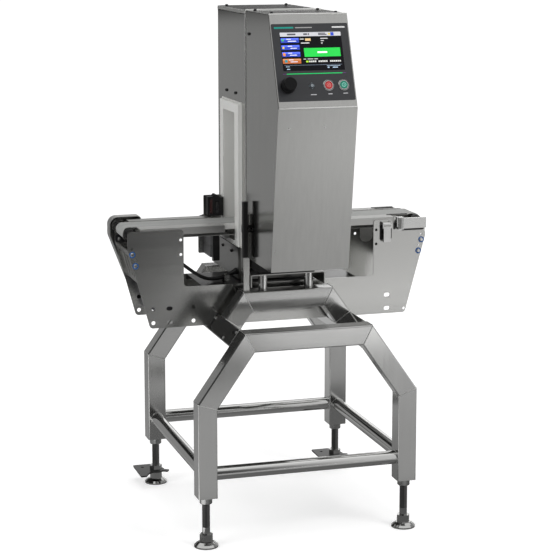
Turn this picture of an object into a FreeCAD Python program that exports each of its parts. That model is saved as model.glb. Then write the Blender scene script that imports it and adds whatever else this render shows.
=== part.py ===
import FreeCAD, Part
import os
from math import asin, atan2, cos, hypot, pi, radians, sin, sqrt, tan

V = FreeCAD.Vector

# A vertical metal detector for food lines: a narrow search head round an upright aperture, a short
# belt conveyor through that aperture, and a welded stand of square tube on levelling feet.
# X runs along the belt, -Y is the operator's side, Z is up. Sizes are in millimetres.
# Y is first measured from the middle of the stand, and at the end everything is moved so that
# the origin is on the floor under the middle of the whole machine.

# Fits
running_gap = 0.05
clear_gap = 0.3

# Stand of square tube
tube = 60.0
tube_wall = 3.0
tube_corner = 4.0
stand_length = 700.0
stand_width = 732.0
leg_bottom = 157.0
bend_height = 452.0
arch_top = 661.0
brace_angle = 55.0
upper_top = 742.0
upper_front_y = -151.0
stretcher_d = 42.4
stretcher_wall = 2.0
stretcher_height = 228.0

# Levelling feet
spindle_d = 24.0
boss_d = 39.0
boss_drop = 21.0
cap_thickness = 8.0
disc_d = 75.0
disc_rim = 5.0
disc_height = 16.0
hub_d = 40.0
hub_height = 40.0
spindle_up = 45.0
foot_nut_af = 36.0
foot_nut_height = 16.0
anchor_thickness = 5.0
anchor_reach = 65.0
anchor_width = 130.0
anchor_eye_d = 56.0
anchor_tab = 44.0
foot_hex_af = 36.0

# Side plates of the conveyor
plate = 3.0
plates_front_y = -59.0
plates_rear_y = 149.0
plate_bottom = 625.0
plate_top = 933.0
plate_foot_half = 423.0
plate_end_inset = 4.0
plate_shoulder = 58.0
plate_corner = 12.0
notch_half = 314.0
notch_floor = 752.0
notch_corner = 12.0
scoop_level = 893.0
scoop_start_inset = 124.0
scoop_end_inset = 97.0
deck_half = 255.0
deck_flange = 18.0
plate_hole_d = 13.0
plate_slot = 20.0
hole_rows = (642.0, 686.0)
hole_outer_inset = 10.0
hole_slot_inset = 62.0
hole_inner_inset = 30.0
right_hole_inset = 3.0
right_hole_drop = 4.0
notch_hole_inset = 9.0
notch_hole_rows = (855.0, 901.0)

# Belt, bed and rollers
belt_top = 939.0
belt_width = 100.0
belt_front_y = 0.0
belt_thickness = 1.7
belt_reach = 495.0
end_roller_d = 36.6
shaft_d = 12.0
bearing_d = 26.0
bearing_length = 8.0
bed_sheet = 2.0
bed_skirt = 22.0
bed_end_inset = 43.0
bed_wing_lift = 1.0
bed_channel_gap = 4.0
bed_gap_half = 180.0
tunnel_bed_half_gap = 4.0
tunnel_bed_height = 19.0
tunnel_bed_sheet = 8.0
tunnel_runner = 10.0
bed_slot_length = 72.0
nose_inset = 107.0
bed_tab_inset = 133.0
bed_tab_half = 22.0
bed_tab_drop = 92.0

# Ribbed end plates between the side plates
cross_lift = 130.0
cross_drop = 74.0
cross_back = 14.0
cross_sheet = 3.0
cross_rib_end = 20.0
cross_rib_height = 4.0
cross_rib_width = 10.0

# Screws near the slanted ends of the side plates
tension_levels = (862.0, 826.0)
tension_inset = 10.0
tension_hole_d = 6.0
tension_hole_rise = 18.0
tension_head_d = 13.0
tension_head_rim = 2.0
tension_head_height = 5.0
tension_head_flat = 9.0

# Belt drive, behind the rear plate at the left end
motor_d = 64.0
motor_length = 130.0
gearbox_length = 60.0
motor_inset = 53.0
motor_z = 690.0
motor_pulley_d = 38.0
drive_pulley_d = 38.0
pulley_width = 18.0
pulley_teeth = 17
guard_depth = 44.0
guard_sheet = 2.0
guard_reach = 30.0
guard_top_inset = 90.0
pulley_flange = 2.0
pulley_tooth = 2.0
timing_thickness = 2.6
motor_shaft_d = 14.0

# Head
head_half = 122.0
head_top = 1611.0
head_rear_y = 232.0
seam_y = -92.0
case_bottom = 862.0
front_top_y = -340.0
ridge_y = -443.0
face_drop = 270.0
front_bottom_y = -367.0
front_bottom = 843.0
sheet = 2.0
fold_radius = 2.5
chassis_below = 120.0
chassis_above = 60.0
chassis_sheet = 2.0
module_wide = 110.0
module_wide_depth = 34.0
module_wide_height = 150.0
module_narrow = 60.0
module_narrow_depth = 48.0
module_narrow_lift = 90.0

# Aperture
opening_front_y = -9.0
opening_rear_y = 124.0
opening_bottom = 880.0
opening_top = 1288.0
liner_wall = 8.0
frame_front_y = -47.0
frame_rear_y = 165.0
frame_bottom = 865.0
frame_top = 1318.0
frame_proud = 13.0
frame_round = 5.0
flange_thickness = 2.0
flange_margin = 4.0
coil_radial = 12.0
coil_width = 15.0
coil_pitch = 52.0

# Base under the head
pedestal_front_y = -20.0
pedestal_rear_y = 345.0
pedestal_bottom = 756.0
pedestal_top = 855.0
pedestal_corner = 22.0
bracket_top = 794.0
bracket_sheet = 3.0
bracket_front_y = -146.0
bracket_rear_y = -30.0
bracket_skirt = 40.0
post_d = 28.0
post_bore = 13.0
post_spread = 75.0
front_post_y = -119.0
rear_post_y = 326.0
bolt_d = 12.0
bolt_head_af = 18.0
bolt_head_height = 8.0

# Display face, measured along the slope from its top edge
overlay_size = 236.0
overlay_from_top = 31.0
overlay_thickness = 1.2
lcd_width = 190.0
lcd_height = 118.0
lcd_from_top = 57.0
keys_from_top = 221.0
dial_x = -87.0
dial_d = 45.0
dial_height = 32.0
dial_shaft_d = 10.0
home_x = -12.5
stop_x = 38.5
start_x = 85.5
home_d = 14.0
key_d = 24.0
key_height = 3.5
key_travel = 2.0
ring_d = 34.0
ring_height = 2.5
key_stem = 7.0

# Photo sensors
post_bar_width = 19.0
post_bar_thickness = 5.0
post_bar_gap = 1.0
post_bar_front_y = -136.0
post_bar_top = 985.0
jaw = 4.0
jaw_reach = 8.0
light_bar_x = -139.5
light_bar_width = 16.5
light_bar_depth = 15.0
light_bar_bottom = 851.0
light_bar_top = 1026.0
light_clamp_z = 940.0
light_clamp_height = 24.0
clamp_from_head = 5.1
clamp_knob_d = 7.2
clamp_screw_d = 4.0
rear_sensor_left = -190.0
rear_sensor_right = -137.0
rear_sensor_depth = 28.0
rear_sensor_height = 65.0
rear_bracket_bottom = 818.0
amplifier_depth = 86.0
amplifier_width = 30.0
amplifier_height = 78.0

# Latches on the right
side_latch_x = 355.0
side_latch_z = 918.0
side_latch_width = 24.0
side_latch_length = 56.0
end_latch_x = 404.0
end_latch_z = 920.0
end_latch_height = 34.0
end_latch_length = 84.0
latch_pin_d = 6.0
latch_standoff = 9.0
latch_sheet = 3.0

# Lead from the drive to the head, laid over the deck
lead_d = 11.0
lead_start = V(-22.0, -30.0, 65.0)
lead_rise = 45.0
lead_crest = V(52.0, 1.0, 42.0)

# Worked out from the sizes above
half_length = stand_length / 2
half_width = stand_width / 2
slope = radians(brace_angle)
plate_top_half = belt_reach - plate_end_inset
scoop_start = belt_reach - scoop_start_inset
scoop_end = belt_reach - scoop_end_inset
bed_start = belt_reach - bed_end_inset
nose_start = belt_reach - nose_inset
bed_tab_x = belt_reach - bed_tab_inset
hole_outer = plate_foot_half - hole_outer_inset
hole_slot = plate_foot_half - hole_slot_inset
hole_inner = notch_half - hole_inner_inset
notch_hole_x = notch_half + notch_hole_inset
motor_x = motor_inset - plate_foot_half
guard_top_end = belt_reach - guard_top_inset
ridge_z = head_top - face_drop
post_bar_right = -head_half - post_bar_gap
post_bar_left = post_bar_right - post_bar_width
clamp_x = -head_half - clamp_from_head
bar_half = half_length - (arch_top - bend_height) / tan(slope)
upper_half = bar_half - (upper_top - arch_top) / tan(slope)
mitre_in = tube * tan(slope / 2)
bend_in = tube * tan((pi / 2 - slope) / 2)
leg_x = half_length - tube / 2
leg_y = half_width - tube / 2
inner_front_y = plates_front_y + plate
inner_rear_y = plates_rear_y - plate
belt_rear_y = belt_front_y + belt_width
end_roller_x = belt_reach - end_roller_d / 2 - clear_gap - belt_thickness
end_roller_z = belt_top - belt_thickness - clear_gap - end_roller_d / 2
bed_z = belt_top - belt_thickness - clear_gap
pulley_y = plates_rear_y + 6.0
shoulder_z = plate_top - plate_shoulder
edge_slope = (plate_top_half - plate_foot_half) / (shoulder_z - plate_bottom)
face_length = hypot(front_top_y - ridge_y, head_top - ridge_z)
face_tilt = atan2(front_top_y - ridge_y, head_top - ridge_z)
lead_foot = V(motor_x, 0, motor_z) + lead_start
lead_top = lead_foot + V(0, 0, lead_rise)
lead_route = [
    lead_foot,
    lead_top,
    lead_top + lead_crest,
    V(-head_half - 148.0, -20.0, notch_floor + 34.0),
    V(-head_half - 113.0, -12.0, notch_floor + 13.5),
    V(-head_half - 79.0, -4.0, notch_floor + 7.5),
    V(-head_half - 50.0, 4.0, notch_floor + 10.5),
    V(-head_half - 25.0, 9.5, notch_floor + 19.0),
    V(-head_half + 1.5, 12.5, notch_floor + 28.5),
]


def box(x0, x1, y0, y1, z0, z1):
    return Part.makeBox(x1 - x0, y1 - y0, z1 - z0, V(x0, y0, z0))


def rod(start, direction, diameter, length):
    return Part.makeCylinder(diameter / 2, length, start, direction)


def rod_y(x, z, y0, y1, diameter):
    return rod(V(x, y0, z), V(0, 1, 0), diameter, y1 - y0)


def rod_z(x, y, z0, z1, diameter):
    return rod(V(x, y, z0), V(0, 0, 1), diameter, z1 - z0)


def sheet_of(points, sweep):
    """A flat outline through the points, swept along a vector."""
    return Part.Face(Part.makePolygon(points + points[:1])).extrude(sweep)


def prism_y(outline, y0, y1):
    """An outline of (x, z) points, extruded along Y."""
    return sheet_of([V(x, y0, z) for x, z in outline], V(0, y1 - y0, 0))


def prism_x(outline, x0, x1):
    """An outline of (y, z) points, extruded along X."""
    return sheet_of([V(x0, y, z) for y, z in outline], V(x1 - x0, 0, 0))


def rounded_outline(corners, lift):
    """A closed wire through (a, b, radius) corners; lift turns (a, b) into a point in space."""
    wire = []
    count = len(corners)
    stops = []
    for i, (a, b, radius) in enumerate(corners):
        here = V(a, b, 0)
        before = V(corners[i - 1][0], corners[i - 1][1], 0)
        after = V(corners[(i + 1) % count][0], corners[(i + 1) % count][1], 0)
        if radius == 0:
            stops.append((here, None, here))
            continue
        to_before = (before - here).normalize()
        to_after = (after - here).normalize()
        half = to_before.getAngle(to_after) / 2
        reach = radius / tan(half)
        middle = (to_before + to_after).normalize()
        bulge = here + middle * (radius / sin(half) - radius)
        stops.append((here + to_before * reach, bulge, here + to_after * reach))
    for i, (arc_in, bulge, arc_out) in enumerate(stops):
        if bulge is not None:
            wire.append(Part.Arc(lift(arc_in), lift(bulge), lift(arc_out)).toShape())
        next_in = stops[(i + 1) % count][0]
        if (next_in - arc_out).Length > 1e-6:
            wire.append(Part.LineSegment(lift(arc_out), lift(next_in)).toShape())
    return Part.Wire(wire)


def plate_y(corners, y0, thickness):
    """A plate in an XZ plane with rounded corners given as (x, z, radius)."""
    wire = rounded_outline(corners, lambda p: V(p.x, y0, p.y))
    return Part.Face(wire).extrude(V(0, thickness, 0))


def plate_z(corners, z0, thickness):
    """A plate in an XY plane with rounded corners given as (x, y, radius)."""
    wire = rounded_outline(corners, lambda p: V(p.x, p.y, z0))
    return Part.Face(wire).extrude(V(0, 0, thickness))


def plate_x(corners, x0, thickness):
    """A plate in a YZ plane with rounded corners given as (y, z, radius)."""
    wire = rounded_outline(corners, lambda p: V(x0, p.x, p.y))
    return Part.Face(wire).extrude(V(thickness, 0, 0))


def slot_y(x, z, length, width, y0, y1):
    """A slot along X, cut through along Y."""
    reach = (length - width) / 2
    middle = box(x - reach, x + reach, y0, y1, z - width / 2, z + width / 2)
    return middle.fuse([rod_y(x - reach, z, y0, y1, width), rod_y(x + reach, z, y0, y1, width)])


def hexagon(centre, across_flats, height):
    """A hexagonal prism standing on its centre point, along Z."""
    corner = across_flats / sqrt(3)
    points = [centre + V(corner * cos(i * pi / 3), corner * sin(i * pi / 3), 0) for i in range(6)]
    return sheet_of(points, V(0, 0, height))


def turned(profile, origin, axis):
    """A profile of (radius, height) points turned about an axis through the origin point."""
    points = [V(r, 0, h) for r, h in profile]
    solid = Part.Face(Part.makePolygon(points + points[:1])).revolve(V(0, 0, 0), V(0, 0, 1), 360)
    solid.Placement = FreeCAD.Placement(origin, FreeCAD.Rotation(V(0, 0, 1), axis))
    return solid


def round_long_edges(solid, direction, radius, keep=lambda p: True):
    """Fillets the straight edges that run along a direction and pass the keep test."""
    chosen = []
    for edge in solid.Edges:
        if edge.Curve.TypeId != "Part::GeomLine":
            continue
        along = (edge.Vertexes[-1].Point - edge.Vertexes[0].Point).normalize()
        if abs(along.dot(direction)) > 0.9999 and keep(edge.CenterOfMass):
            chosen.append(edge)
    return solid.makeFillet(radius, chosen)


def mirror_x(shape):
    return shape.mirror(V(0, 0, 0), V(1, 0, 0))


def both_sides(shape):
    return [shape, mirror_x(shape)]


def group(shapes):
    """Separate solids kept together in one node."""
    solids = []
    for shape in shapes:
        solids.extend(shape.Solids)
    return Part.makeCompound(solids)


# Stand


def tube_member(start, end, y0):
    """A hollow square tube in an XZ plane; start and end are its (outer, inner) mitre points."""
    outline = [start[0], end[0], end[1], start[1]]
    outer = prism_y(outline, y0, y0 + tube)
    run = V(end[0][0] - start[0][0], 0, end[0][1] - start[0][1]).normalize()
    outer = round_long_edges(outer, run, tube_corner)
    share = tube_wall / tube

    def between(pair, t):
        return tuple(p + (q - p) * t for p, q in zip(pair[0], pair[1]))

    bore = [between(start, share), between(end, share), between(end, 1 - share), between(start, 1 - share)]
    return outer.cut(prism_y(bore, y0 + tube_wall, y0 + tube - tube_wall))


def arch_points():
    """(outer, inner) mitre points of the left half of an arch, from the leg's end to the bar."""
    foot = ((-half_length, leg_bottom), (-half_length + tube, leg_bottom))
    bend = ((-half_length, bend_height), (-half_length + tube, bend_height - bend_in))
    top = ((-bar_half, arch_top), (-bar_half + mitre_in, arch_top - tube))
    return foot, bend, top


def mirrored(pair):
    return tuple((-x, z) for x, z in pair)


def arch_legs(y0):
    foot, bend, top = arch_points()
    post = tube_member(foot, bend, y0)
    brace = tube_member(bend, top, y0)
    return group(both_sides(post) + both_sides(brace))


def arch_bars():
    top = arch_points()[2]
    return group([tube_member(top, mirrored(top), y0) for y0 in (-half_width, half_width - tube)])


def seat_points():
    """Section of the left side member: its outer face is in line with the braces."""
    outer_top = (-bar_half, arch_top)
    inner_top = (outer_top[0] + tube * sin(slope), outer_top[1] - tube * cos(slope))
    inner_low = (inner_top[0] - tube * cos(slope), inner_top[1] - tube * sin(slope))
    outer_low = (outer_top[0] - tube * cos(slope), outer_top[1] - tube * sin(slope))
    return outer_top, inner_top, inner_low, outer_low


def side_members():
    """Square tubes from the front arch to the rear arch, turned to the slope of the braces."""
    corners = seat_points()
    middle = (sum(x for x, z in corners) / 4, sum(z for x, z in corners) / 4)
    share = 1 - 2 * tube_wall / tube
    bore = [(middle[0] + (x - middle[0]) * share, middle[1] + (z - middle[1]) * share) for x, z in corners]
    front = -half_width + tube
    outer = round_long_edges(prism_y(corners, front, -front), V(0, 1, 0), tube_corner)
    return group(both_sides(outer.cut(prism_y(bore, front, -front))))


def upper_bars():
    """Two top bars that carry the head, drilled for the post bolts."""
    end = ((-upper_half, upper_top), (-upper_half + mitre_in, upper_top - tube))
    bars = []
    for y0, bolt_y in ((upper_front_y, front_post_y), (half_width - tube, rear_post_y)):
        bar = tube_member(end, mirrored(end), y0)
        for x in (-post_spread, post_spread):
            bar = bar.cut(rod_z(x, bolt_y, upper_top - tube, upper_top, post_bore))
        bars.append(bar)
    return group(bars)


def upper_legs():
    """Short legs of the upper arches: square ends on the side members, level ends on the rear arch."""
    top = ((-upper_half, upper_top), (-upper_half + mitre_in, upper_top - tube))
    outer_top, inner_top = seat_points()[:2]
    front = tube_member((outer_top, inner_top), top, upper_front_y)
    level = (outer_top, (outer_top[0] + tube / sin(slope), arch_top))
    rear = tube_member(level, top, half_width - tube)
    return group(both_sides(front) + both_sides(rear))


def stretchers():
    """Round tubes between the legs, all at one height."""
    tubes = []
    inside_x = half_length - tube
    inside_y = half_width - tube
    for side in (-1, 1):
        start = V(-inside_x, side * leg_y, stretcher_height)
        outer = rod(start, V(1, 0, 0), stretcher_d, 2 * inside_x)
        tubes.append(outer.cut(rod(start, V(1, 0, 0), stretcher_d - 2 * stretcher_wall, 2 * inside_x)))
        start = V(side * leg_x, -inside_y, stretcher_height)
        outer = rod(start, V(0, 1, 0), stretcher_d, 2 * inside_y)
        tubes.append(outer.cut(rod(start, V(0, 1, 0), stretcher_d - 2 * stretcher_wall, 2 * inside_y)))
    return group(tubes)


def leg_bosses():
    """Threaded end plugs of the legs, each with a collar under the tube."""
    inside = tube - 2 * tube_wall
    bosses = []
    for x in (-leg_x, leg_x):
        for y in (-leg_y, leg_y):
            cap = box(x - inside / 2, x + inside / 2, y - inside / 2, y + inside / 2,
                      leg_bottom, leg_bottom + cap_thickness)
            collar = rod_z(x, y, leg_bottom - boss_drop, leg_bottom, boss_d)
            collar = collar.makeChamfer(2.0, [e for e in collar.Edges
                                              if abs(e.CenterOfMass.z - leg_bottom + boss_drop) < 0.01])
            bore = rod_z(x, y, leg_bottom - boss_drop - 1, leg_bottom + cap_thickness + 1,
                         spindle_d + 2 * running_gap)
            bosses.append(cap.fuse(collar).cut(bore).removeSplitter())
    return group(bosses)


def foot(x, y, with_nut):
    """A levelling foot: domed disc, hub and spindle. The rear ones clamp an anchor plate, and the
    front ones have a hexagonal hub."""
    top = leg_bottom + spindle_up
    hub = [(hub_d / 2, disc_height), (hub_d / 2, hub_height)] if with_nut else [(spindle_d / 2, disc_height)]
    profile = [(0, 0), (disc_d / 2, 0), (disc_d / 2, disc_rim), (disc_d / 2 - 6, disc_rim + 6),
               (hub_d / 2 + 3, disc_height)] + hub
    if with_nut:
        profile.append((spindle_d / 2, hub_height))
    profile += [(spindle_d / 2, top - 2), (spindle_d / 2 - 2, top), (0, top)]
    body = turned(profile, V(x, y, 0), V(0, 0, 1))
    if not with_nut:
        body = body.fuse(hexagon(V(x, y, disc_height), foot_hex_af, hub_height - disc_height)).removeSplitter()
    solids = [body]
    if with_nut:
        nut_z = hub_height + anchor_thickness
        nut = hexagon(V(x, y, nut_z), foot_nut_af, foot_nut_height)
        solids.append(nut.cut(rod_z(x, y, nut_z - 1, nut_z + foot_nut_height + 1,
                                    spindle_d + 2 * running_gap)))
    return group(solids)


def anchor_plate(x, y):
    """A floor anchor plate gripped between hub and nut, with an eye, a notch and a short tab."""
    left = x - anchor_reach
    wide = anchor_width / 2
    blade = plate_z([(left, y - wide, 4), (left + 18, y - wide, 0), (left + 34, y - wide + 30, 8),
                     (x, y - 20, 0), (x, y + wide, 8), (left, y + wide, 4)], hub_height, anchor_thickness)
    eye = rod_z(x, y, hub_height, hub_height + anchor_thickness, anchor_eye_d)
    tab = box(0, anchor_tab, -8, 8, hub_height, hub_height + anchor_thickness)
    tab.rotate(V(0, 0, 0), V(0, 0, 1), -30)
    tab.translate(V(x, y, 0))
    solid = blade.fuse([eye, tab])
    bore = rod_z(x, y, hub_height - 1, hub_height + anchor_thickness + 1, spindle_d + 2 * running_gap)
    hole = rod_z(left + 26, y + wide / 2, hub_height - 1, hub_height + anchor_thickness + 1, 11)
    return solid.cut([bore, hole]).removeSplitter()


# Conveyor


def plate_edge(z):
    """Half length of a side plate at a height: slanted up to the shoulder, upright above it."""
    return min(plate_top_half, plate_foot_half + (z - plate_bottom) * edge_slope)


def tension_hole(side, z, y0, y1):
    """The small hole above a screw of the slanted end."""
    return rod_y(side * (plate_edge(z) - tension_inset), z + tension_hole_rise, y0, y1, tension_hole_d)


def side_plate(y0, scooped):
    """A side plate: a deep wing at each end of a low bridge, with cut-outs for the side members."""
    r = plate_corner
    right = [(notch_half, notch_floor, notch_corner), (notch_half, plate_top, 8)]
    if scooped:
        right += [(scoop_start, plate_top, 8), (scoop_end, scoop_level, 14),
                  (plate_top_half, scoop_level, 8)]
    else:
        right += [(plate_top_half, plate_top, r)]
    corners = [(-plate_foot_half, plate_bottom, r), (-plate_top_half, shoulder_z, r),
               (-plate_top_half, plate_top, r),
               (-notch_half, plate_top, 8), (-notch_half, notch_floor, notch_corner)]
    corners += right + [(plate_top_half, shoulder_z, r), (plate_foot_half, plate_bottom, r)]
    solid = plate_y(corners, y0, plate)
    cuts = []
    y1 = y0 + plate
    for z in hole_rows:
        cuts.append(rod_y(-hole_outer, z, y0, y1, plate_hole_d))
        cuts.append(rod_y(-hole_inner, z, y0, y1, plate_hole_d))
    cuts.append(rod_y(plate_foot_half - right_hole_inset, hole_rows[0] - right_hole_drop, y0, y1, plate_hole_d * 0.7))
    for side in (-1, 1):
        for z in hole_rows:
            cuts.append(slot_y(side * hole_slot, z, plate_slot, plate_hole_d, y0, y1))
        for z in notch_hole_rows:
            cuts.append(rod_y(side * notch_hole_x, z, y0, y1, plate_hole_d * 0.7))
        for z in tension_levels:
            cuts.append(tension_hole(side, z, y0, y1))
        cuts.append(member_gap(side, y0, y1))
    if not scooped:
        cuts.append(rod_y(-end_roller_x, end_roller_z, y0, y1, shaft_d + 6))
        cuts.append(rod_y(motor_x, motor_z, y0, y1, motor_shaft_d + 6))
    return solid.cut(cuts)


def member_gap(side, y0, y1):
    """Room for a side member in a plate, open downwards, a little wider than the tube."""
    outer_top, inner_top = seat_points()[:2]
    gap = 1.5
    low = plate_bottom - 10
    over = ((outer_top[0] - gap * cos(slope), outer_top[1]),
            (outer_top[0] + gap * sin(slope), outer_top[1] + gap))
    drop = (arch_top - low) / tan(slope)
    outline = [(outer_top[0] - drop - 2 * gap, low), (over[0][0] - gap, over[0][1]), over[1],
               (inner_top[0] + gap, inner_top[1] + gap), (inner_top[0] + gap, low)]
    return prism_y([(-side * x, z) for x, z in outline], y0, y1)


def saddle_blocks():
    """Blocks bolted inside the plates that rest on the upper faces of the side members."""
    outer_top, inner_top = seat_points()[:2]
    top = arch_top + 20
    depth = 16.0
    outline = [(outer_top[0] + 6 * sin(slope), outer_top[1] - 6 * cos(slope)), inner_top,
               (inner_top[0] + 14, inner_top[1]), (inner_top[0] + 14, top), (outer_top[0] + 4, top)]
    blocks = []
    for y0 in (inner_front_y, inner_rear_y - depth):
        blocks += both_sides(prism_y(outline, y0, y0 + depth))
    return group(blocks)


def deck_tray():
    """A folded tray between the plates at the height of the notch floor."""
    outer = box(-deck_half, deck_half, inner_front_y, inner_rear_y, notch_floor - deck_flange, notch_floor)
    under = box(-deck_half, deck_half, inner_front_y + bed_sheet, inner_rear_y - bed_sheet,
                notch_floor - deck_flange, notch_floor - bed_sheet)
    return outer.cut(under)


def cross_members():
    """Ribbed end plates between the side plates, parallel to their slanted ends."""
    low = plate_bottom + cross_lift
    high = plate_top - cross_drop

    def strip(z0, z1, near, far):
        return [(plate_edge(z0) + near, z0), (plate_edge(z1) + near, z1), (plate_edge(z1) + far, z1),
                (plate_edge(z0) + far, z0)]

    wall = prism_y(strip(low, high, -cross_back, -cross_back - cross_sheet), inner_front_y, inner_rear_y)
    rib = strip(low + cross_rib_end, high - cross_rib_end, -cross_back, cross_rib_height - cross_back)
    ribs = []
    for share in (0.2, 0.4, 0.6, 0.8):
        y = inner_front_y + (inner_rear_y - inner_front_y) * share
        ribs.append(prism_y(rib, y - cross_rib_width / 2, y + cross_rib_width / 2))
    return group(both_sides(wall.fuse(ribs).removeSplitter()))


def bed_section():
    """Folded section of the slider bed in (y, z): a wing, the belt channel and the other wing."""
    t = bed_sheet
    wing = belt_top + bed_wing_lift
    low = wing - bed_skirt
    front, rear = belt_front_y - bed_channel_gap, belt_rear_y + bed_channel_gap
    outer = [(inner_front_y, low), (inner_front_y, wing), (front, wing), (front, bed_z),
             (rear, bed_z), (rear, wing), (inner_rear_y, wing), (inner_rear_y, low)]
    inner = [(inner_rear_y - t, low), (inner_rear_y - t, wing - t), (rear + t, wing - t),
             (rear + t, bed_z - t), (front - t, bed_z - t), (front - t, wing - t),
             (inner_front_y + t, wing - t), (inner_front_y + t, low)]
    return outer + inner


def bed_sides():
    """The two stainless beds outside the head, each hung from the plates by two long tabs."""
    bed = prism_x(bed_section(), bed_gap_half, bed_start)
    top = belt_top + bed_wing_lift
    skirt = top - bed_skirt
    x0, x1 = bed_tab_x - bed_tab_half, bed_tab_x + bed_tab_half
    for y0 in (inner_front_y, inner_rear_y - bed_sheet):
        tab = plate_y([(x0, skirt - bed_tab_drop, bed_tab_half * 0.9), (x0, skirt + 2 * bed_sheet, 0),
                       (x1, skirt + 2 * bed_sheet, 0), (x1, skirt - bed_tab_drop, bed_tab_half * 0.9)], y0, bed_sheet)
        bed = bed.fuse(tab)
    bed = bed.removeSplitter()
    left = mirror_x(bed)
    slots = [
        box(bed_start - bed_slot_length, bed_start - 6, belt_rear_y + 12, belt_rear_y + 30, top - 5, top + 1),
        box(nose_start - 3, bed_start + 1, inner_front_y - 1, belt_front_y - 12, skirt - 1, top + 1),
    ]
    return group([left, bed.cut(slots)])


def tunnel_bed():
    """The plastic bed that carries the belt through the aperture, on two runners."""
    edge = tunnel_bed_half_gap
    y0, y1 = belt_front_y - edge, belt_rear_y + edge
    top = box(-bed_gap_half, bed_gap_half, y0, y1, bed_z - tunnel_bed_sheet, bed_z)
    low = bed_z - tunnel_bed_height
    rails = [box(-bed_gap_half, bed_gap_half, y, y + tunnel_runner, low, bed_z - tunnel_bed_sheet)
             for y in (y0, y1 - tunnel_runner)]
    return top.fuse(rails).removeSplitter()


def loop_wire(circles, y):
    """A belt's closed line round circles (x, z, r); r is negative where the belt's back touches."""
    count = len(circles)
    lines = []
    for i in range(count):
        x1, z1, r1 = circles[i]
        x2, z2, r2 = circles[(i + 1) % count]
        reach = hypot(x2 - x1, z2 - z1)
        heading = atan2(z2 - z1, x2 - x1) + asin((r2 - r1) / reach)
        nx, nz = sin(heading), -cos(heading)
        lines.append(((x1 - r1 * nx, z1 - r1 * nz), (x2 - r2 * nx, z2 - r2 * nz)))
    edges = []
    for i in range(count):
        x, z, r = circles[i]
        start = lines[i - 1][1]
        end = lines[i][0]
        a0 = atan2(start[1] - z, start[0] - x)
        a1 = atan2(end[1] - z, end[0] - x)
        if r > 0 and a1 > a0:
            a1 -= 2 * pi
        if r < 0 and a1 < a0:
            a1 += 2 * pi
        middle = (a0 + a1) / 2
        bulge = V(x + abs(r) * cos(middle), y, z + abs(r) * sin(middle))
        edges.append(Part.Arc(V(start[0], y, start[1]), bulge, V(end[0], y, end[1])).toShape())
        edges.append(Part.LineSegment(V(lines[i][0][0], y, lines[i][0][1]),
                                      V(lines[i][1][0], y, lines[i][1][1])).toShape())
    return Part.Wire(edges)


def loop_belt(circles, thickness, y0, width):
    """A closed belt: the circles are the pulleys, with a small gap under the belt."""
    def padded(inside, outside):
        return [(x, z, r + inside if r > 0 else r - outside) for x, z, r in circles]
    outer = loop_wire(padded(clear_gap + thickness, clear_gap), y0)
    inner = loop_wire(padded(clear_gap, clear_gap + thickness), y0)
    ring = Part.Face(outer).cut(Part.Face(inner))
    return ring.extrude(V(0, width, 0)).Solids[0]


def belt():
    """The conveyor belt round the two end rollers."""
    circles = [(-end_roller_x, end_roller_z, end_roller_d / 2), (end_roller_x, end_roller_z, end_roller_d / 2)]
    return loop_belt(circles, belt_thickness, belt_front_y, belt_width)


def roller_profile(y0, y1):
    """Half section of a roller on its shaft: stub, neck, drum under the belt, neck and stub."""
    r = end_roller_d / 2
    neck = shaft_d / 2 + 3
    face0, face1 = y0 + bearing_length, inner_rear_y - bearing_length - 2
    drum0, drum1 = belt_front_y - 2, belt_rear_y + 2
    stub = [(0, y0), (shaft_d / 2, y0), (shaft_d / 2, face0), (neck, face0)]
    end = [(neck, drum1), (neck, face1), (shaft_d / 2, face1), (shaft_d / 2, y1), (0, y1)]
    return stub, [(neck, drum0), (r, drum0), (r, drum1)], end


def tail_roller():
    stub, drum, end = roller_profile(inner_front_y + plate + clear_gap, inner_rear_y - clear_gap)
    return turned(stub + drum + end, V(end_roller_x, 0, end_roller_z), V(0, 1, 0))


def drive_roller():
    """The left roller with a guide flange, its long shaft and the driven timing pulley."""
    r = end_roller_d / 2
    stub, drum, end = roller_profile(inner_front_y + clear_gap, pulley_y + pulley_width + 3)
    start = belt_front_y - 26
    flange = [(stub[-1][0], start), (r - 3, start), (r - 3, start + 8), (r + 4.5, start + 8),
              (r + 4.5, start + 16), (r, start + 16)]
    core = turned(stub + flange + drum[2:] + end, V(-end_roller_x, 0, end_roller_z), V(0, 1, 0))
    wheel = toothed_pulley(-end_roller_x, end_roller_z, drive_pulley_d)
    return core.fuse(wheel).removeSplitter()


def toothed_pulley(x, z, diameter):
    """A flanged timing pulley with straight grooves."""
    y0, y1 = pulley_y, pulley_y + pulley_width
    solid = rod_y(x, z, y0, y1, diameter)
    grooves = []
    for i in range(pulley_teeth):
        turn = 2 * pi * i / pulley_teeth
        spot = V(x + cos(turn) * diameter / 2, 0, z + sin(turn) * diameter / 2)
        grooves.append(rod_y(spot.x, spot.z, y0 + pulley_flange, y1 - pulley_flange, pulley_tooth * 1.6))
    solid = solid.cut(grooves)
    for y in (y0, y1 - pulley_flange):
        solid = solid.fuse(rod_y(x, z, y, y + pulley_flange, diameter + 8))
    return solid.removeSplitter()


def motor_pulley():
    """The small pulley with the motor's output shaft."""
    wheel = toothed_pulley(motor_x, motor_z, motor_pulley_d)
    shaft = rod_y(motor_x, motor_z, inner_rear_y - 20, pulley_y + pulley_width + 3, motor_shaft_d)
    return wheel.fuse(shaft).removeSplitter()


def timing_belt():
    inset = pulley_flange + 1
    circles = [(-end_roller_x, end_roller_z, drive_pulley_d / 2), (motor_x, motor_z, motor_pulley_d / 2)]
    return loop_belt(circles, timing_thickness, pulley_y + inset, pulley_width - 2 * inset)


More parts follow.
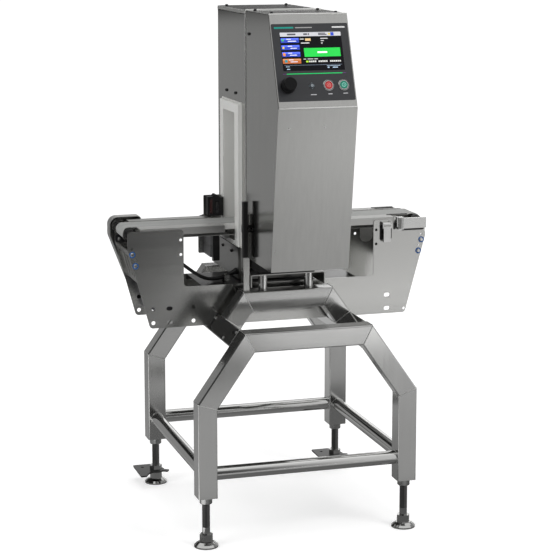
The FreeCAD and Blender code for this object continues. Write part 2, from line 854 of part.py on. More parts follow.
def drive_motor():
    """The gearmotor on the rear plate's inner face, with cooling ribs and a terminal box."""
    gearbox_start = inner_rear_y - gearbox_length
    body_start = gearbox_start - motor_length
    body = rod_y(motor_x, motor_z, body_start, gearbox_start, motor_d)
    ribs = [rod_y(motor_x, motor_z, body_start + 52 + 9 * i, body_start + 56 + 9 * i, motor_d + 6)
            for i in range(8)]
    half = motor_d / 2 + 4
    gearbox = box(motor_x - half, motor_x + half, gearbox_start, inner_rear_y, motor_z - half, motor_z + half)
    gearbox = round_long_edges(gearbox, V(0, 1, 0), 8)
    start = lead_route[0]
    case = box(start.x - 22, start.x + 36, start.y - 14, start.y + 34, motor_z, start.z - 8)
    case = round_long_edges(case, V(0, 1, 0), 5, lambda p: p.z > motor_z + 1)
    gland = rod_z(start.x, start.y, start.z - 8, start.z, lead_d + 8)
    bore = rod_y(motor_x, motor_z, inner_rear_y - 21, inner_rear_y, motor_shaft_d + 2 * running_gap)
    return body.fuse(ribs + [gearbox, case, gland]).cut(bore).removeSplitter()


def guard_outline(shrink):
    """Corners (x, z, radius) of the drive guard, moved inwards by shrink."""
    reach = guard_reach - shrink
    left, top = -end_roller_x - reach, end_roller_z + reach
    right = motor_x + 42 - shrink
    low = motor_z - 40 + shrink
    return [(motor_x - 44 + shrink, low, 24), (left, end_roller_z - reach, reach * 0.9), (left, top, reach * 0.9),
            (-guard_top_end - shrink, top, 10), (right, motor_z + 30, 20), (right, low, 24)]


def drive_guard():
    """The deep cover over the timing belt, open towards the rear plate."""
    outer = plate_y(guard_outline(0), plates_rear_y, guard_depth)
    rim = [e for e in outer.Edges if abs(e.BoundBox.YMin - plates_rear_y - guard_depth) < 0.01]
    outer = outer.makeFillet(4, rim)
    inner = plate_y(guard_outline(guard_sheet), plates_rear_y - 1, guard_depth - guard_sheet + 1)
    return outer.cut(inner)


def roller_bearings():
    """Plain bearings inside the plates, one at each end of each roller."""
    rings = []
    front_left = (-end_roller_x, inner_front_y)
    front_right = (end_roller_x, inner_front_y + plate)
    rear = inner_rear_y - bearing_length
    for x, y0 in (front_left, front_right, (-end_roller_x, rear), (end_roller_x, rear)):
        outer = rod_y(x, end_roller_z, y0, y0 + bearing_length, bearing_d)
        bore = rod_y(x, end_roller_z, y0, y0 + bearing_length, shaft_d + 2 * running_gap)
        rings.append(outer.cut(bore))
    return group(rings)


# Latches


def latch_bases():
    """The fixed halves of the two latches, with the nose plate that holds the right end roller."""
    front = plates_front_y
    nose = plate_y([(nose_start, scoop_level - 34, 6), (nose_start, plate_top, 6),
                    (plate_top_half, plate_top, 10), (plate_top_half, shoulder_z, 6),
                    (plate_edge(scoop_level - 34), scoop_level - 34, 6)],
                   inner_front_y, plate)
    nose = nose.cut([tension_hole(1, z, inner_front_y, inner_front_y + plate) for z in tension_levels])
    ears = []
    wide = side_latch_width / 2
    pin_y = front - latch_standoff
    for x0 in (side_latch_x - wide - 3, side_latch_x + wide + clear_gap):
        ears.append(box(x0, x0 + 2.7, pin_y - 6, front, side_latch_z - 12, side_latch_z + 8))
    pin = rod(V(side_latch_x - wide - 3, pin_y, side_latch_z), V(1, 0, 0), latch_pin_d, 2 * wide + 6)
    hinge_side = ears[0].fuse([ears[1], pin])
    tall = end_latch_height / 2
    lugs = []
    for z0 in (end_latch_z - tall - 3, end_latch_z + tall + clear_gap):
        lugs.append(box(end_latch_x - 9, end_latch_x + 8, pin_y - 6, inner_front_y, z0, z0 + 2.7))
    web = box(end_latch_x - 14, end_latch_x - 9, pin_y - 2, inner_front_y, end_latch_z - 12,
              end_latch_z + tall + 3)
    web = web.fuse(box(end_latch_x - 10, end_latch_x - 8.5, pin_y - 6, plates_front_y, end_latch_z - tall - 3,
                       end_latch_z + tall + 3))
    spindle = rod(V(end_latch_x, pin_y, end_latch_z - tall - 3), V(0, 0, 1), latch_pin_d, 2 * tall + 6)
    hinge_end = nose.fuse(lugs + [web, spindle])
    return group([hinge_side, hinge_end.removeSplitter()])


def latch_lever(length, width, knuckle):
    """A folded latch lever hanging along -Z from a pin along X at the origin."""
    bore = rod(V(-width / 2 - 1, 0, 0), V(1, 0, 0), latch_pin_d + 2 * running_gap, width + 2)
    barrel = rod(V(-width / 2, 0, 0), V(1, 0, 0), knuckle, width)
    top = -knuckle / 2 + 2
    blade = box(-width / 2, width / 2, -knuckle / 2, -knuckle / 2 + latch_sheet, -length, top)
    lips = [box(x, x + latch_sheet, -knuckle / 2, knuckle / 2 - 3, -length, top - 4)
            for x in (-width / 2, width / 2 - latch_sheet)]
    tip = box(-width / 2, width / 2, -knuckle / 2, 0, -length, -length + latch_sheet)
    return barrel.fuse([blade, tip] + lips).cut(bore).removeSplitter()


def side_latch_lever():
    lever = latch_lever(side_latch_length, side_latch_width, 14.0)
    lever.translate(V(side_latch_x, plates_front_y - latch_standoff, side_latch_z))
    return lever


def end_latch_lever():
    lever = latch_lever(end_latch_length, end_latch_height, 14.0)
    lever.rotate(V(0, 0, 0), V(0, 1, 0), -90)
    lever.translate(V(end_latch_x, plates_front_y - latch_standoff, end_latch_z))
    return lever


def tension_bolts():
    """Button-head screws near the slanted ends of both plates, and the bracket screws."""
    r, top = tension_head_d / 2, tension_head_height
    head = [(0, 0), (r, 0), (r, tension_head_rim), (tension_head_flat / 2, top), (0, top)]
    bolts = []
    for z in tension_levels:
        for x in (tension_inset - plate_edge(z), plate_edge(z) - tension_inset):
            bolts.append(turned(head, V(x, plates_front_y, z), V(0, -1, 0)))
            bolts.append(turned(head, V(x, plates_rear_y, z), V(0, 1, 0)))
    return group(bolts)


# Base of the head


def base_posts():
    """Turned sleeves that stand the head's base on the upper bars."""
    posts = []
    for x in (-post_spread, post_spread):
        for y, top in ((front_post_y, bracket_top - bracket_sheet), (rear_post_y, pedestal_bottom)):
            sleeve = rod_z(x, y, upper_top, top, post_d)
            posts.append(sleeve.cut(rod_z(x, y, upper_top, top, post_bore)))
    return group(posts)


def base_bolts():
    """Bolts from under the upper bars, up through the posts into the base."""
    bolts = []
    low = upper_top - tube
    for x in (-post_spread, post_spread):
        for y, top in ((front_post_y, bracket_top), (rear_post_y, pedestal_bottom + bracket_sheet)):
            washer = rod_z(x, y, low - 2, low, bolt_head_af + 6)
            head = hexagon(V(x, y, low - 2 - bolt_head_height), bolt_head_af, bolt_head_height)
            shank = rod_z(x, y, low, top, bolt_d)
            bolts.append(head.fuse([washer, shank]).removeSplitter())
    return group(bolts)


def base_bracket():
    """An inverted channel under the front of the head."""
    outer = box(-head_half + 1, head_half - 1, bracket_front_y, bracket_rear_y,
                bracket_top - bracket_skirt, bracket_top)
    outer = round_long_edges(outer, V(0, 1, 0), 6, lambda p: p.z > bracket_top - 1)
    t = bracket_sheet
    inner = box(-head_half + 1 + t, head_half - 1 - t, bracket_front_y, bracket_rear_y,
                bracket_top - bracket_skirt, bracket_top - t)
    inner = round_long_edges(inner, V(0, 1, 0), 3, lambda p: p.z > bracket_top - t - 1)
    bores = [rod_z(x, front_post_y, bracket_top - t, bracket_top, bolt_d + 2 * running_gap)
             for x in (-post_spread, post_spread)]
    return outer.cut([inner] + bores)


def pedestal():
    """A box with round upright corners under the coil case, bolted to the rear upper bar."""
    outer = box(-head_half, head_half, pedestal_front_y, pedestal_rear_y, pedestal_bottom, pedestal_top)
    outer = round_long_edges(outer, V(0, 0, 1), pedestal_corner)
    t = bracket_sheet
    inner = box(-head_half + t, head_half - t, pedestal_front_y + t, pedestal_rear_y - t,
                pedestal_bottom + t, pedestal_top - t)
    inner = round_long_edges(inner, V(0, 0, 1), pedestal_corner - t)
    bores = [rod_z(x, rear_post_y, pedestal_bottom, pedestal_bottom + t, bolt_d + 2 * running_gap)
             for x in (-post_spread, post_spread)]
    return outer.cut([inner] + bores)


def isolators():
    """Rubber pads between the base and the head."""
    rear = box(-head_half + 4, head_half - 4, pedestal_front_y + 24, head_rear_y - 4, pedestal_top, case_bottom)
    front = box(-head_half + 32, head_half - 32, front_post_y - 16, pedestal_front_y - 24,
                bracket_top, front_bottom)
    return group([rear, front])


# Head


def head_shell():
    """The stainless coil case: a closed box of sheet with the aperture cut through it."""
    outer = box(-head_half, head_half, seam_y, head_rear_y, case_bottom, head_top)
    outer = round_long_edges(outer, V(0, 0, 1), fold_radius, lambda p: p.y > seam_y + 1)
    outer = round_long_edges(outer, V(0, 1, 0), fold_radius, lambda p: p.z > head_top - 1)
    inner = box(-head_half + sheet, head_half - sheet, seam_y + sheet, head_rear_y - sheet,
                case_bottom + sheet, head_top - sheet)
    window = box(-head_half - 1, head_half + 1, opening_front_y - liner_wall, opening_rear_y + liner_wall,
                 opening_bottom - liner_wall, opening_top + liner_wall)
    return outer.cut([inner, window])


def aperture_liner():
    """The plastic tunnel through the coil case."""
    outer = box(-head_half, head_half, opening_front_y - liner_wall, opening_rear_y + liner_wall,
                opening_bottom - liner_wall, opening_top + liner_wall)
    return outer.cut(box(-head_half, head_half, opening_front_y, opening_rear_y, opening_bottom, opening_top))


def opening_corners(radius):
    return [(opening_front_y, opening_bottom, radius), (opening_front_y, opening_top, radius),
            (opening_rear_y, opening_top, radius), (opening_rear_y, opening_bottom, radius)]


def aperture_frames():
    """Raised plastic frames with a thin flange behind, one on each side of the head."""
    x0 = head_half + flange_thickness
    depth = frame_proud - flange_thickness
    r = 4.0
    raised = plate_x([(frame_front_y, frame_bottom, r), (frame_front_y, frame_top, r),
                      (frame_rear_y, frame_top, r), (frame_rear_y, frame_bottom, r)], x0, depth)
    rim = [e for e in raised.Edges if abs(e.BoundBox.XMin - x0 - depth) < 0.01]
    raised = raised.makeFillet(frame_round - 1.5, rim)
    m = flange_margin
    flange = plate_x([(frame_front_y - m, frame_bottom - 3, 6), (frame_front_y - m, frame_top + m, 6),
                      (frame_rear_y + m + 10, frame_top + m, 6), (frame_rear_y + m + 10, frame_bottom - 3, 6)],
                     head_half, flange_thickness)
    window = plate_x(opening_corners(3.0), head_half - 1, frame_proud + 2)
    return group(both_sides(raised.fuse(flange).cut(window).removeSplitter()))


def search_coils():
    """One sending and two receiving coils wound round the liner, in potted formers."""
    y0, y1 = opening_front_y - liner_wall, opening_rear_y + liner_wall
    z0, z1 = opening_bottom - liner_wall, opening_top + liner_wall
    w = coil_radial
    coils = []
    for x in (-coil_pitch, 0, coil_pitch):
        former = plate_x([(y0 - w, z0, 4), (y0 - w, z1 + w, 10), (y1 + w, z1 + w, 10), (y1 + w, z0, 4)],
                         x - coil_width / 2, coil_width)
        coils.append(former.cut(box(x - coil_width, x + coil_width, y0, y1, z0 - 1, z1)))
    return group(coils)


def inset(points, distance):
    """A convex outline of (a, b) points, given clockwise, moved inwards by a distance."""
    result = []
    count = len(points)
    for i in range(count):
        a0, b0 = points[i - 1]
        a1, b1 = points[i]
        a2, b2 = points[(i + 1) % count]
        l1 = hypot(a1 - a0, b1 - b0)
        l2 = hypot(a2 - a1, b2 - b1)
        n1 = ((b1 - b0) / l1, -(a1 - a0) / l1)
        n2 = ((b2 - b1) / l2, -(a2 - a1) / l2)
        share = distance / (1 + n1[0] * n2[0] + n1[1] * n2[1])
        result.append((a1 + (n1[0] + n2[0]) * share, b1 + (n1[1] + n2[1]) * share))
    return result


def place_on_face(shape):
    """Moves a shape from the display face's own axes (x, up the slope, outwards) to its place."""
    turn = FreeCAD.Rotation(V(1, 0, 0), 90 - face_tilt * 180 / pi)
    shape.Placement = FreeCAD.Placement(V(0, front_top_y, head_top), turn).multiply(shape.Placement)
    return shape


def face_rod(x, down, diameter, n0, n1):
    return rod(V(x, -down, n0), V(0, 0, 1), diameter, n1 - n0)


def front_housing():
    """The electronics box in front of the coil case: top, sloped display face and leaning front."""
    outline = [(seam_y, head_top), (seam_y, front_bottom), (front_bottom_y + sheet, front_bottom),
               (ridge_y + sheet, ridge_z), (ridge_y, ridge_z), (front_top_y, head_top)]
    outer = prism_x(outline, -head_half, head_half)

    def foldable(p):
        return p.y < seam_y - 1 and p.z > front_bottom + 1

    for step in ((0, front_top_y - ridge_y, head_top - ridge_z), (0, 1, 0)):
        outer = round_long_edges(outer, V(*step).normalize(), fold_radius,
                                 lambda p: foldable(p) and abs(p.x) > head_half - 1 and p.z > ridge_z + 1)
    lean = (front_bottom_y - ridge_y) / (front_bottom - ridge_z)
    rise = sheet / (tan(face_tilt) - lean)
    behind_ridge = (ridge_y + rise * tan(face_tilt), ridge_z + rise)
    hollow = inset([(seam_y, head_top), (seam_y, front_bottom), (front_bottom_y + sheet, front_bottom),
                    behind_ridge, (front_top_y, head_top)], sheet)
    inner = prism_x(hollow, -head_half + sheet, head_half - sheet)
    holes = [face_rod(x, keys_from_top, d, -12, 2) for x, d in
             ((home_x, home_d + 2 * clear_gap), (stop_x, key_d + 2 * clear_gap),
              (start_x, key_d + 2 * clear_gap), (dial_x, dial_shaft_d + 2 * running_gap))]
    return outer.cut([inner] + [place_on_face(h) for h in holes])


def lower_cover():
    """The sheet cover of the leaning front, from the ridge to the bottom edge."""
    outline = [(ridge_y, ridge_z), (ridge_y + sheet, ridge_z), (front_bottom_y + sheet, front_bottom),
               (front_bottom_y, front_bottom)]
    return prism_x(outline, -head_half, head_half)


def chassis_plate():
    """The plate inside the front box that carries the electronics."""
    y = (front_top_y + seam_y) / 2
    wall = box(-head_half + sheet, head_half - sheet, y, y + chassis_sheet, ridge_z - chassis_below,
               head_top - chassis_above)
    wide = box(-head_half + 32, module_wide - head_half + 32, y - module_wide_depth, y,
               ridge_z - chassis_above, ridge_z - chassis_above + module_wide_height)
    narrow = box(head_half - 27 - module_narrow, head_half - 27, y - module_narrow_depth, y,
                 ridge_z - module_narrow_lift, ridge_z - module_narrow_lift + module_wide_height)
    return wall.fuse([wide, narrow]).removeSplitter()


def display_overlay():
    """The dark membrane panel, with a window for the screen and holes for keys and dial."""
    half = overlay_size / 2
    top = -overlay_from_top
    panel = plate_z([(-half, top - overlay_size, 3), (-half, top, 3), (half, top, 3),
                     (half, top - overlay_size, 3)], 0, overlay_thickness)
    window = box(-lcd_width / 2, lcd_width / 2, -lcd_from_top - lcd_height, -lcd_from_top, -1, 3)
    holes = [face_rod(x, keys_from_top, d, -1, 3) for x, d in
             ((home_x, home_d + 2 * clear_gap), (stop_x, key_d + 2 * clear_gap),
              (start_x, key_d + 2 * clear_gap), (dial_x, dial_shaft_d + 2 * running_gap))]
    return place_on_face(panel.cut([window] + holes))


def lcd_screen():
    glass = box(-lcd_width / 2, lcd_width / 2, -lcd_from_top - lcd_height, -lcd_from_top,
                0, overlay_thickness - 0.2)
    return place_on_face(glass)


def key(x, diameter):
    """A push key: a round cap on a wider stem that can't fall out of its hole."""
    cap = face_rod(x, keys_from_top, diameter, -sheet - 1 - key_travel, overlay_thickness + key_height)
    rim = [e for e in cap.Edges if abs(e.CenterOfMass.z - overlay_thickness - key_height) < 0.01]
    cap = cap.makeFillet(1.0, rim)
    stop = face_rod(x, keys_from_top, diameter + 4, -sheet - key_stem, -sheet - clear_gap)
    return place_on_face(cap.fuse(stop).removeSplitter())


def key_rings():
    """Metal rings round the stop and start keys."""
    rings = []
    for x in (stop_x, start_x):
        outer = face_rod(x, keys_from_top, ring_d, overlay_thickness, overlay_thickness + ring_height)
        rim = [e for e in outer.Edges if abs(e.CenterOfMass.z - overlay_thickness - ring_height) < 0.01]
        outer = outer.makeChamfer(1.0, rim)
        bore = face_rod(x, keys_from_top, key_d + 2 * clear_gap, 0, 10)
        rings.append(place_on_face(outer.cut(bore)))
    return group(rings)


def dial():
    """The ribbed dial and its shaft."""
    r = dial_d / 2
    low = overlay_thickness + clear_gap
    top = overlay_thickness + dial_height
    profile = [(0, -12), (dial_shaft_d / 2, -12), (dial_shaft_d / 2, low), (r, low), (r, low + 6),
               (r - 1.5, low + 8), (r - 2.5, top - 2), (r - 4.5, top), (0, top)]
    body = turned(profile, V(dial_x, -keys_from_top, 0), V(0, 0, 1))
    grooves = []
    for i in range(18):
        turn = 2 * pi * i / 18
        grooves.append(rod(V(dial_x + r * cos(turn), -keys_from_top + r * sin(turn), low + 9),
                           V(0, 0, 1), 4.0, top))
    return place_on_face(body.cut(grooves))


def socket_screw(point, direction, diameter=10.0, height=5.0):
    """A cap screw head standing on a face, with its hexagon socket left as a round recess."""
    outer = rod(point, direction, diameter, height)
    rim = [e for e in outer.Edges if e.CenterOfMass.distanceToPoint(point + direction * height) < 0.01]
    outer = outer.makeChamfer(0.8, rim)
    return outer.cut(rod(point + direction * (height - 2.5), direction, diameter * 0.45, 3))


def head_screws():
    """Black cap screws of the head: four on the top, the rest on the two sides."""
    screws = []
    up = V(0, 0, 1)
    left = V(-1, 0, 0)
    for x in (-head_half + 22, head_half - 22):
        for y in (seam_y - 33, front_top_y + 40):
            screws.append(socket_screw(V(x, y, head_top), up))
    side = [V(-head_half, seam_y - 44, head_top - 70), V(-head_half, 19, frame_top + 25),
            V(-head_half, 125, frame_top + 25), V(-head_half, 75, pedestal_top - 21),
            V(-head_half, 181, pedestal_top - 21)]
    for point in side:
        screws += both_sides(socket_screw(point, left))
    return group(screws)


# Sensors


def front_sensor_post():
    """A flat bar on the upper bar that carries the front light bar."""
    x0, x1, y0 = post_bar_left, post_bar_right, post_bar_front_y
    bar = plate_y([(x0, upper_top, 0), (x0, post_bar_top, 3), (x1, post_bar_top, 3), (x1, upper_top, 0)],
                  y0, post_bar_thickness)
    foot_bar = box(x0, x1, y0, y0 + 22, upper_top, upper_top + post_bar_thickness)
    return bar.fuse(foot_bar).removeSplitter()


def front_light_bar():
    """The slim black light bar, with a jaw round the post's edge and the tab of the clamp screw."""
    x0 = light_bar_x - light_bar_width / 2
    y1 = post_bar_front_y - clear_gap
    bar = box(x0, x0 + light_bar_width, y1 - light_bar_depth, y1, light_bar_bottom, light_bar_top)
    bar = round_long_edges(bar, V(0, 0, 1), 4, lambda p: p.y < y1 - 1)
    low, high = light_clamp_z - light_clamp_height / 2, light_clamp_z + light_clamp_height / 2
    tab = box(x0 + light_bar_width - 1, -head_half - clear_gap, y1 - jaw, y1, low, high)
    behind = post_bar_front_y + post_bar_thickness + clear_gap
    web = box(post_bar_left - clear_gap - jaw, post_bar_left - clear_gap, y1 - jaw, behind + jaw, low, high)
    lip = box(post_bar_left - clear_gap - 1, post_bar_left + jaw_reach, behind, behind + jaw, low, high)
    bore = rod_y(clamp_x, light_clamp_z, y1 - jaw - 1, y1 + 1, clamp_screw_d + 2 * running_gap)
    return bar.fuse([tab, web, lip]).cut(bore).removeSplitter()


def clamp_knob():
    """The knob whose screw goes through the tab and presses on the post."""
    y1 = post_bar_front_y - clear_gap - jaw - clear_gap
    r, screw = clamp_knob_d / 2, clamp_screw_d / 2
    profile = [(0, -14), (r - 1, -14), (r, -13), (r, 0), (screw, 0), (screw, jaw + clear_gap), (0, jaw + clear_gap)]
    return turned(profile, V(clamp_x, y1, light_clamp_z), V(0, 1, 0))


def rear_sensor_bracket():
    """A plate on the skirt of the left bed that carries the rear sensor and its amplifier."""
    top = belt_top + 3 + rear_sensor_height
    corners = [(rear_sensor_left - 24, rear_bracket_bottom, 4), (rear_sensor_left - 24, belt_top, 4),
               (rear_sensor_left - 6, belt_top + 6, 0), (rear_sensor_left - 6, top, 4),
               (rear_sensor_right, top, 4), (rear_sensor_right, belt_top, 0), (rear_sensor_right - 14, rear_bracket_bottom, 4)]
    solid = plate_y(corners, inner_rear_y, plate)
    return solid


def rear_sensor():
    """The black housing of the rear sensor, with a recessed window and a sloped cap."""
    low = belt_top + 3
    y1 = inner_rear_y
    y0 = y1 - rear_sensor_depth
    top = low + rear_sensor_height
    x0, x1 = rear_sensor_left, rear_sensor_right
    outline = [(x0, low), (x0, top - 2), (x0 + 18, top - 2), (x0 + 24, top + 5), (x0 + 29, top + 5),
               (x1 - 10, top - 5), (x1, top - 5), (x1, low)]
    body = prism_y(outline, y0, y1)
    window = box(x0 + 7, x0 + 17, y0 - 1, y0 + 2, low + 8, top - 10)
    lens = box(x0 + 26, x0 + 38, y0 - 1, y0 + 1.5, low + 8, top - 20)
    return body.cut([window, lens])


def sensor_amplifier():
    """The two-part grey amplifier box under the bed, fixed to the bracket."""
    x0 = rear_sensor_left - 6
    y1 = inner_rear_y
    top = rear_bracket_bottom + amplifier_height
    middle = rear_bracket_bottom + amplifier_height * 0.45
    solids = []
    for z0, z1 in ((rear_bracket_bottom, middle - 0.5), (middle + 0.5, top)):
        case = box(x0, x0 + amplifier_width, y1 - amplifier_depth, y1, z0, z1)
        solids.append(round_long_edges(case, V(0, 0, 1), 6, lambda p: p.y < y1 - 1))
    spacer = box(x0 + 8, x0 + amplifier_width - 8, y1 - amplifier_depth + 10, y1, middle - 0.5, middle + 0.5)
    return solids[0].fuse([spacer, solids[1]]).removeSplitter()


# Lead


def lead_path():
    """Straight runs joined by tangent arcs, each as large as its two runs allow."""
    edges = []
    start = lead_route[0]
    for i in range(1, len(lead_route) - 1):
        here = lead_route[i]
        to_before = lead_route[i - 1] - here
        to_after = lead_route[i + 1] - here
        shorter = min(to_before.Length, to_after.Length)
        before, after = to_before.normalize(), to_after.normalize()
        half_turn = (pi - before.getAngle(after)) / 2
        reach = 0.45 * shorter
        radius = reach / tan(half_turn)
        print("lead arc radius", round(radius, 1))
        middle = (before + after).normalize()
        bulge = here + middle * (radius / cos(half_turn) - radius)
        arc_in, arc_out = here + before * reach, here + after * reach
        edges.append(Part.LineSegment(start, arc_in).toShape())
        edges.append(Part.Arc(arc_in, bulge, arc_out).toShape())
        start = arc_out
    edges.append(Part.LineSegment(start, lead_route[-1]).toShape())
    return Part.Wire(edges)


def drive_lead():
    path = lead_path()
    aim = (lead_route[1] - lead_route[0]).normalize()
    ring = Part.Wire(Part.makeCircle(lead_d / 2, lead_route[0], aim))
    tube_solid = path.makePipeShell([ring], True, False)
    print("lead volume ratio", round(tube_solid.Volume / (path.Length * pi * lead_d ** 2 / 4), 4))
    end = lead_route[-1]
    beyond = box(-head_half, 0, end.y - 2 * lead_d, end.y + 2 * lead_d, end.z - 2 * lead_d, end.z + 2 * lead_d)
    return tube_solid.cut(beyond)


nodes = {
    "front_legs": arch_legs(-half_width),
    "rear_legs": arch_legs(half_width - tube),
    "arch_bars": arch_bars(),
    "side_members": side_members(),
    "upper_bars": upper_bars(),
    "upper_legs": upper_legs(),
    "stretchers": stretchers(),
    "leg_bosses": leg_bosses(),
    "foot_front_left": foot(-leg_x, -leg_y, False),
    "foot_front_right": foot(leg_x, -leg_y, False),
    "foot_rear_left": foot(-leg_x, leg_y, True),
    "foot_rear_right": foot(leg_x, leg_y, True),
    "anchor_plate_left": anchor_plate(-leg_x, leg_y),
    "anchor_plate_right": anchor_plate(leg_x, leg_y),
    "front_plate": side_plate(plates_front_y, True),
    "rear_plate": side_plate(inner_rear_y, False),
    "saddle_blocks": saddle_blocks(),
    "deck_tray": deck_tray(),
    "cross_members": cross_members(),
    "bed_sides": bed_sides(),
    "tunnel_bed": tunnel_bed(),
    "belt": belt(),
    "drive_roller": drive_roller(),
    "tail_roller": tail_roller(),
    "roller_bearings": roller_bearings(),
    "drive_motor": drive_motor(),
    "motor_pulley": motor_pulley(),
    "timing_belt": timing_belt(),
    "drive_guard": drive_guard(),
    "latch_bases": latch_bases(),
    "side_latch_lever": side_latch_lever(),
    "end_latch_lever": end_latch_lever(),
    "tension_bolts": tension_bolts(),
    "base_posts": base_posts(),
    "base_bolts": base_bolts(),
    "base_bracket": base_bracket(),
    "pedestal": pedestal(),
    "isolators": isolators(),
    "head_shell": head_shell(),
    "aperture_liner": aperture_liner(),
    "aperture_frames": aperture_frames(),
    "search_coils": search_coils(),
    "front_housing": front_housing(),
    "lower_cover": lower_cover(),
    "chassis_plate": chassis_plate(),
    "display_overlay": display_overlay(),
    "lcd_screen": lcd_screen(),
    "home_key": key(home_x, home_d),
    "stop_key": key(stop_x, key_d),
    "start_key": key(start_x, key_d),
    "key_rings": key_rings(),
    "dial": dial(),
    "head_screws": head_screws(),
    "front_sensor_post": front_sensor_post(),
    "front_light_bar": front_light_bar(),
    "clamp_knob": clamp_knob(),
    "rear_sensor_bracket": rear_sensor_bracket(),
    "rear_sensor": rear_sensor(),
    "sensor_amplifier": sensor_amplifier(),
    "drive_lead": drive_lead(),
}

# The origin is under the middle of the machine: halfway from the dial's front to the anchor plates'
# rear, and halfway from the drive guard's end to the belt's right end
front_reach = nodes["dial"].optimalBoundingBox(False, False).YMin
rear_reach = leg_y + anchor_width / 2
middle_y = (front_reach + rear_reach) / 2
middle_x = (belt_reach - end_roller_x - guard_reach) / 2
os.makedirs("parts", exist_ok=True)
for name, shape in nodes.items():
    shape.translate(V(-middle_x, -middle_y, 0))
    if not shape.isValid():
        print("not valid:", name)
    shape.exportStep("parts/" + name + ".step")
print("nodes", len(nodes), "solids", sum(len(s.Solids) for s in nodes.values()), "moved by", -middle_x, -middle_y)
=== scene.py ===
import math

import bpy
import numpy as np
from bpy.props import FloatProperty, FloatVectorProperty, PointerProperty
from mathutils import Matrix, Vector


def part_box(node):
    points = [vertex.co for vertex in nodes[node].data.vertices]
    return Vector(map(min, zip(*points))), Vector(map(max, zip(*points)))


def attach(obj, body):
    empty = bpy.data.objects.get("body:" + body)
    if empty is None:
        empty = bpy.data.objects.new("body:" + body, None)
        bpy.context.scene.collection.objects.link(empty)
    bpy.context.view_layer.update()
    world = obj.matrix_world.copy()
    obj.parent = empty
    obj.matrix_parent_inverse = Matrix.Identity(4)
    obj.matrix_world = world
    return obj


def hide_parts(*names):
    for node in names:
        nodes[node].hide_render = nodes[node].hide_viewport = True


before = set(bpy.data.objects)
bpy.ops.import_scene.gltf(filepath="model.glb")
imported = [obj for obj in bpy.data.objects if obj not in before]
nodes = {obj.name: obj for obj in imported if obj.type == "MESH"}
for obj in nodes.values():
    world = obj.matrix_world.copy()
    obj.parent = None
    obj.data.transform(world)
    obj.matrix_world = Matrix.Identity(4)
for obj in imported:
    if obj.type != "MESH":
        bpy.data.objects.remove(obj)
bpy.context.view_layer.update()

bl_info = {
    "name": "Vertical metal detector",
    "version": (1, 0, 0),
    "blender": (4, 5, 0),
    "location": "View3D > Sidebar > Detector",
    "description": "Dresses the metal detector: steels, plastics, screen page, welds, screws, lead and studio",
    "category": "Object",
}

picture = 560

# Places, in metres from the middle of the stand, as in the part's source
stand_x = (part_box("front_legs")[0].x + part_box("front_legs")[1].x) / 2
stand_y = (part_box("front_legs")[0].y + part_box("rear_legs")[1].y) / 2
head_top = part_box("head_shell")[1].z
face_tilt = math.atan2(0.103, 0.270)
face_edge_y = -0.340
tube = 0.060
slope = math.radians(55.0)
arch_y = (-0.366, 0.306)
arch_top, bend_height = 0.661, 0.452
half_length = 0.350
upper_y = (-0.151, 0.306)
upper_top = 0.742
plates_front_y, plates_rear_y = -0.059, 0.149
stretcher_height, stretcher_r = 0.228, 0.0212
bar_half = half_length - (arch_top - bend_height) / math.tan(slope)
upper_half = bar_half - (upper_top - arch_top) / math.tan(slope)
mitre_in = tube * math.tan(slope / 2)
bend_in = tube * math.tan((math.pi / 2 - slope) / 2)


def at(x, y, z):
    """A point given from the middle of the stand."""
    return np.array([stand_x + x, stand_y + y, z])


def on_face(a, b, n):
    """Points on the display face: a along X, b up the slope from its top edge, n outwards."""
    a, b, n = np.broadcast_arrays(np.asarray(a, float), b, n)
    s, c = math.sin(face_tilt), math.cos(face_tilt)
    return np.stack([stand_x + a, stand_y + face_edge_y + b * s - n * c, head_top + b * c + n * s], -1)


def tone(name, text, default):
    return FloatVectorProperty(name=name, description=text, default=default, subtype="COLOR", size=3, min=0.0, max=1.0)


def length(name, text, default):
    return FloatProperty(name=name, description=text, default=default, unit="LENGTH", min=0.0)


def share(name, text, default):
    return FloatProperty(name=name, description=text, default=default, subtype="FACTOR", min=0.0, max=1.0)


class DetectorMetals(bpy.types.PropertyGroup):
    """Tones and polish of the metals"""
    sheet: tone("Sheet", "Satin stainless sheet of the head", (0.50, 0.50, 0.485))
    cover: tone("Cover", "Brushed stainless of the leaning cover", (0.56, 0.56, 0.545))
    tube: tone("Tube", "Polished stainless tube of the stand", (0.60, 0.60, 0.59))
    plate: tone("Plate", "Satin plates of the conveyor", (0.56, 0.56, 0.545))
    bright: tone("Bright", "Turned and polished steel", (0.66, 0.66, 0.65))
    # Inner is a darker copy of the sheet's tone: painted shade for the pedestal and the saddles
    inner: tone("Inner", "Duller steel of the pedestal, deck and saddles", (0.25, 0.25, 0.243))
    # Edge is paler than the sheet: a painted highlight along hems, flanges and bends.
    edge: tone("Edge", "Worn, paler steel of hems and bends", (0.93, 0.93, 0.91))
    dark: tone("Dark", "Dark plated steel", (0.10, 0.10, 0.098))
    sheet_rough: share("Sheet roughness", "Roughness of the satin sheet", 0.30)
    side_rough: share("Side roughness", "Roughness of the head's sides", 0.09)
    tube_rough: share("Tube roughness", "Roughness of the polished tube", 0.15)
    plate_rough: share("Plate roughness", "Roughness of the conveyor plates", 0.19)


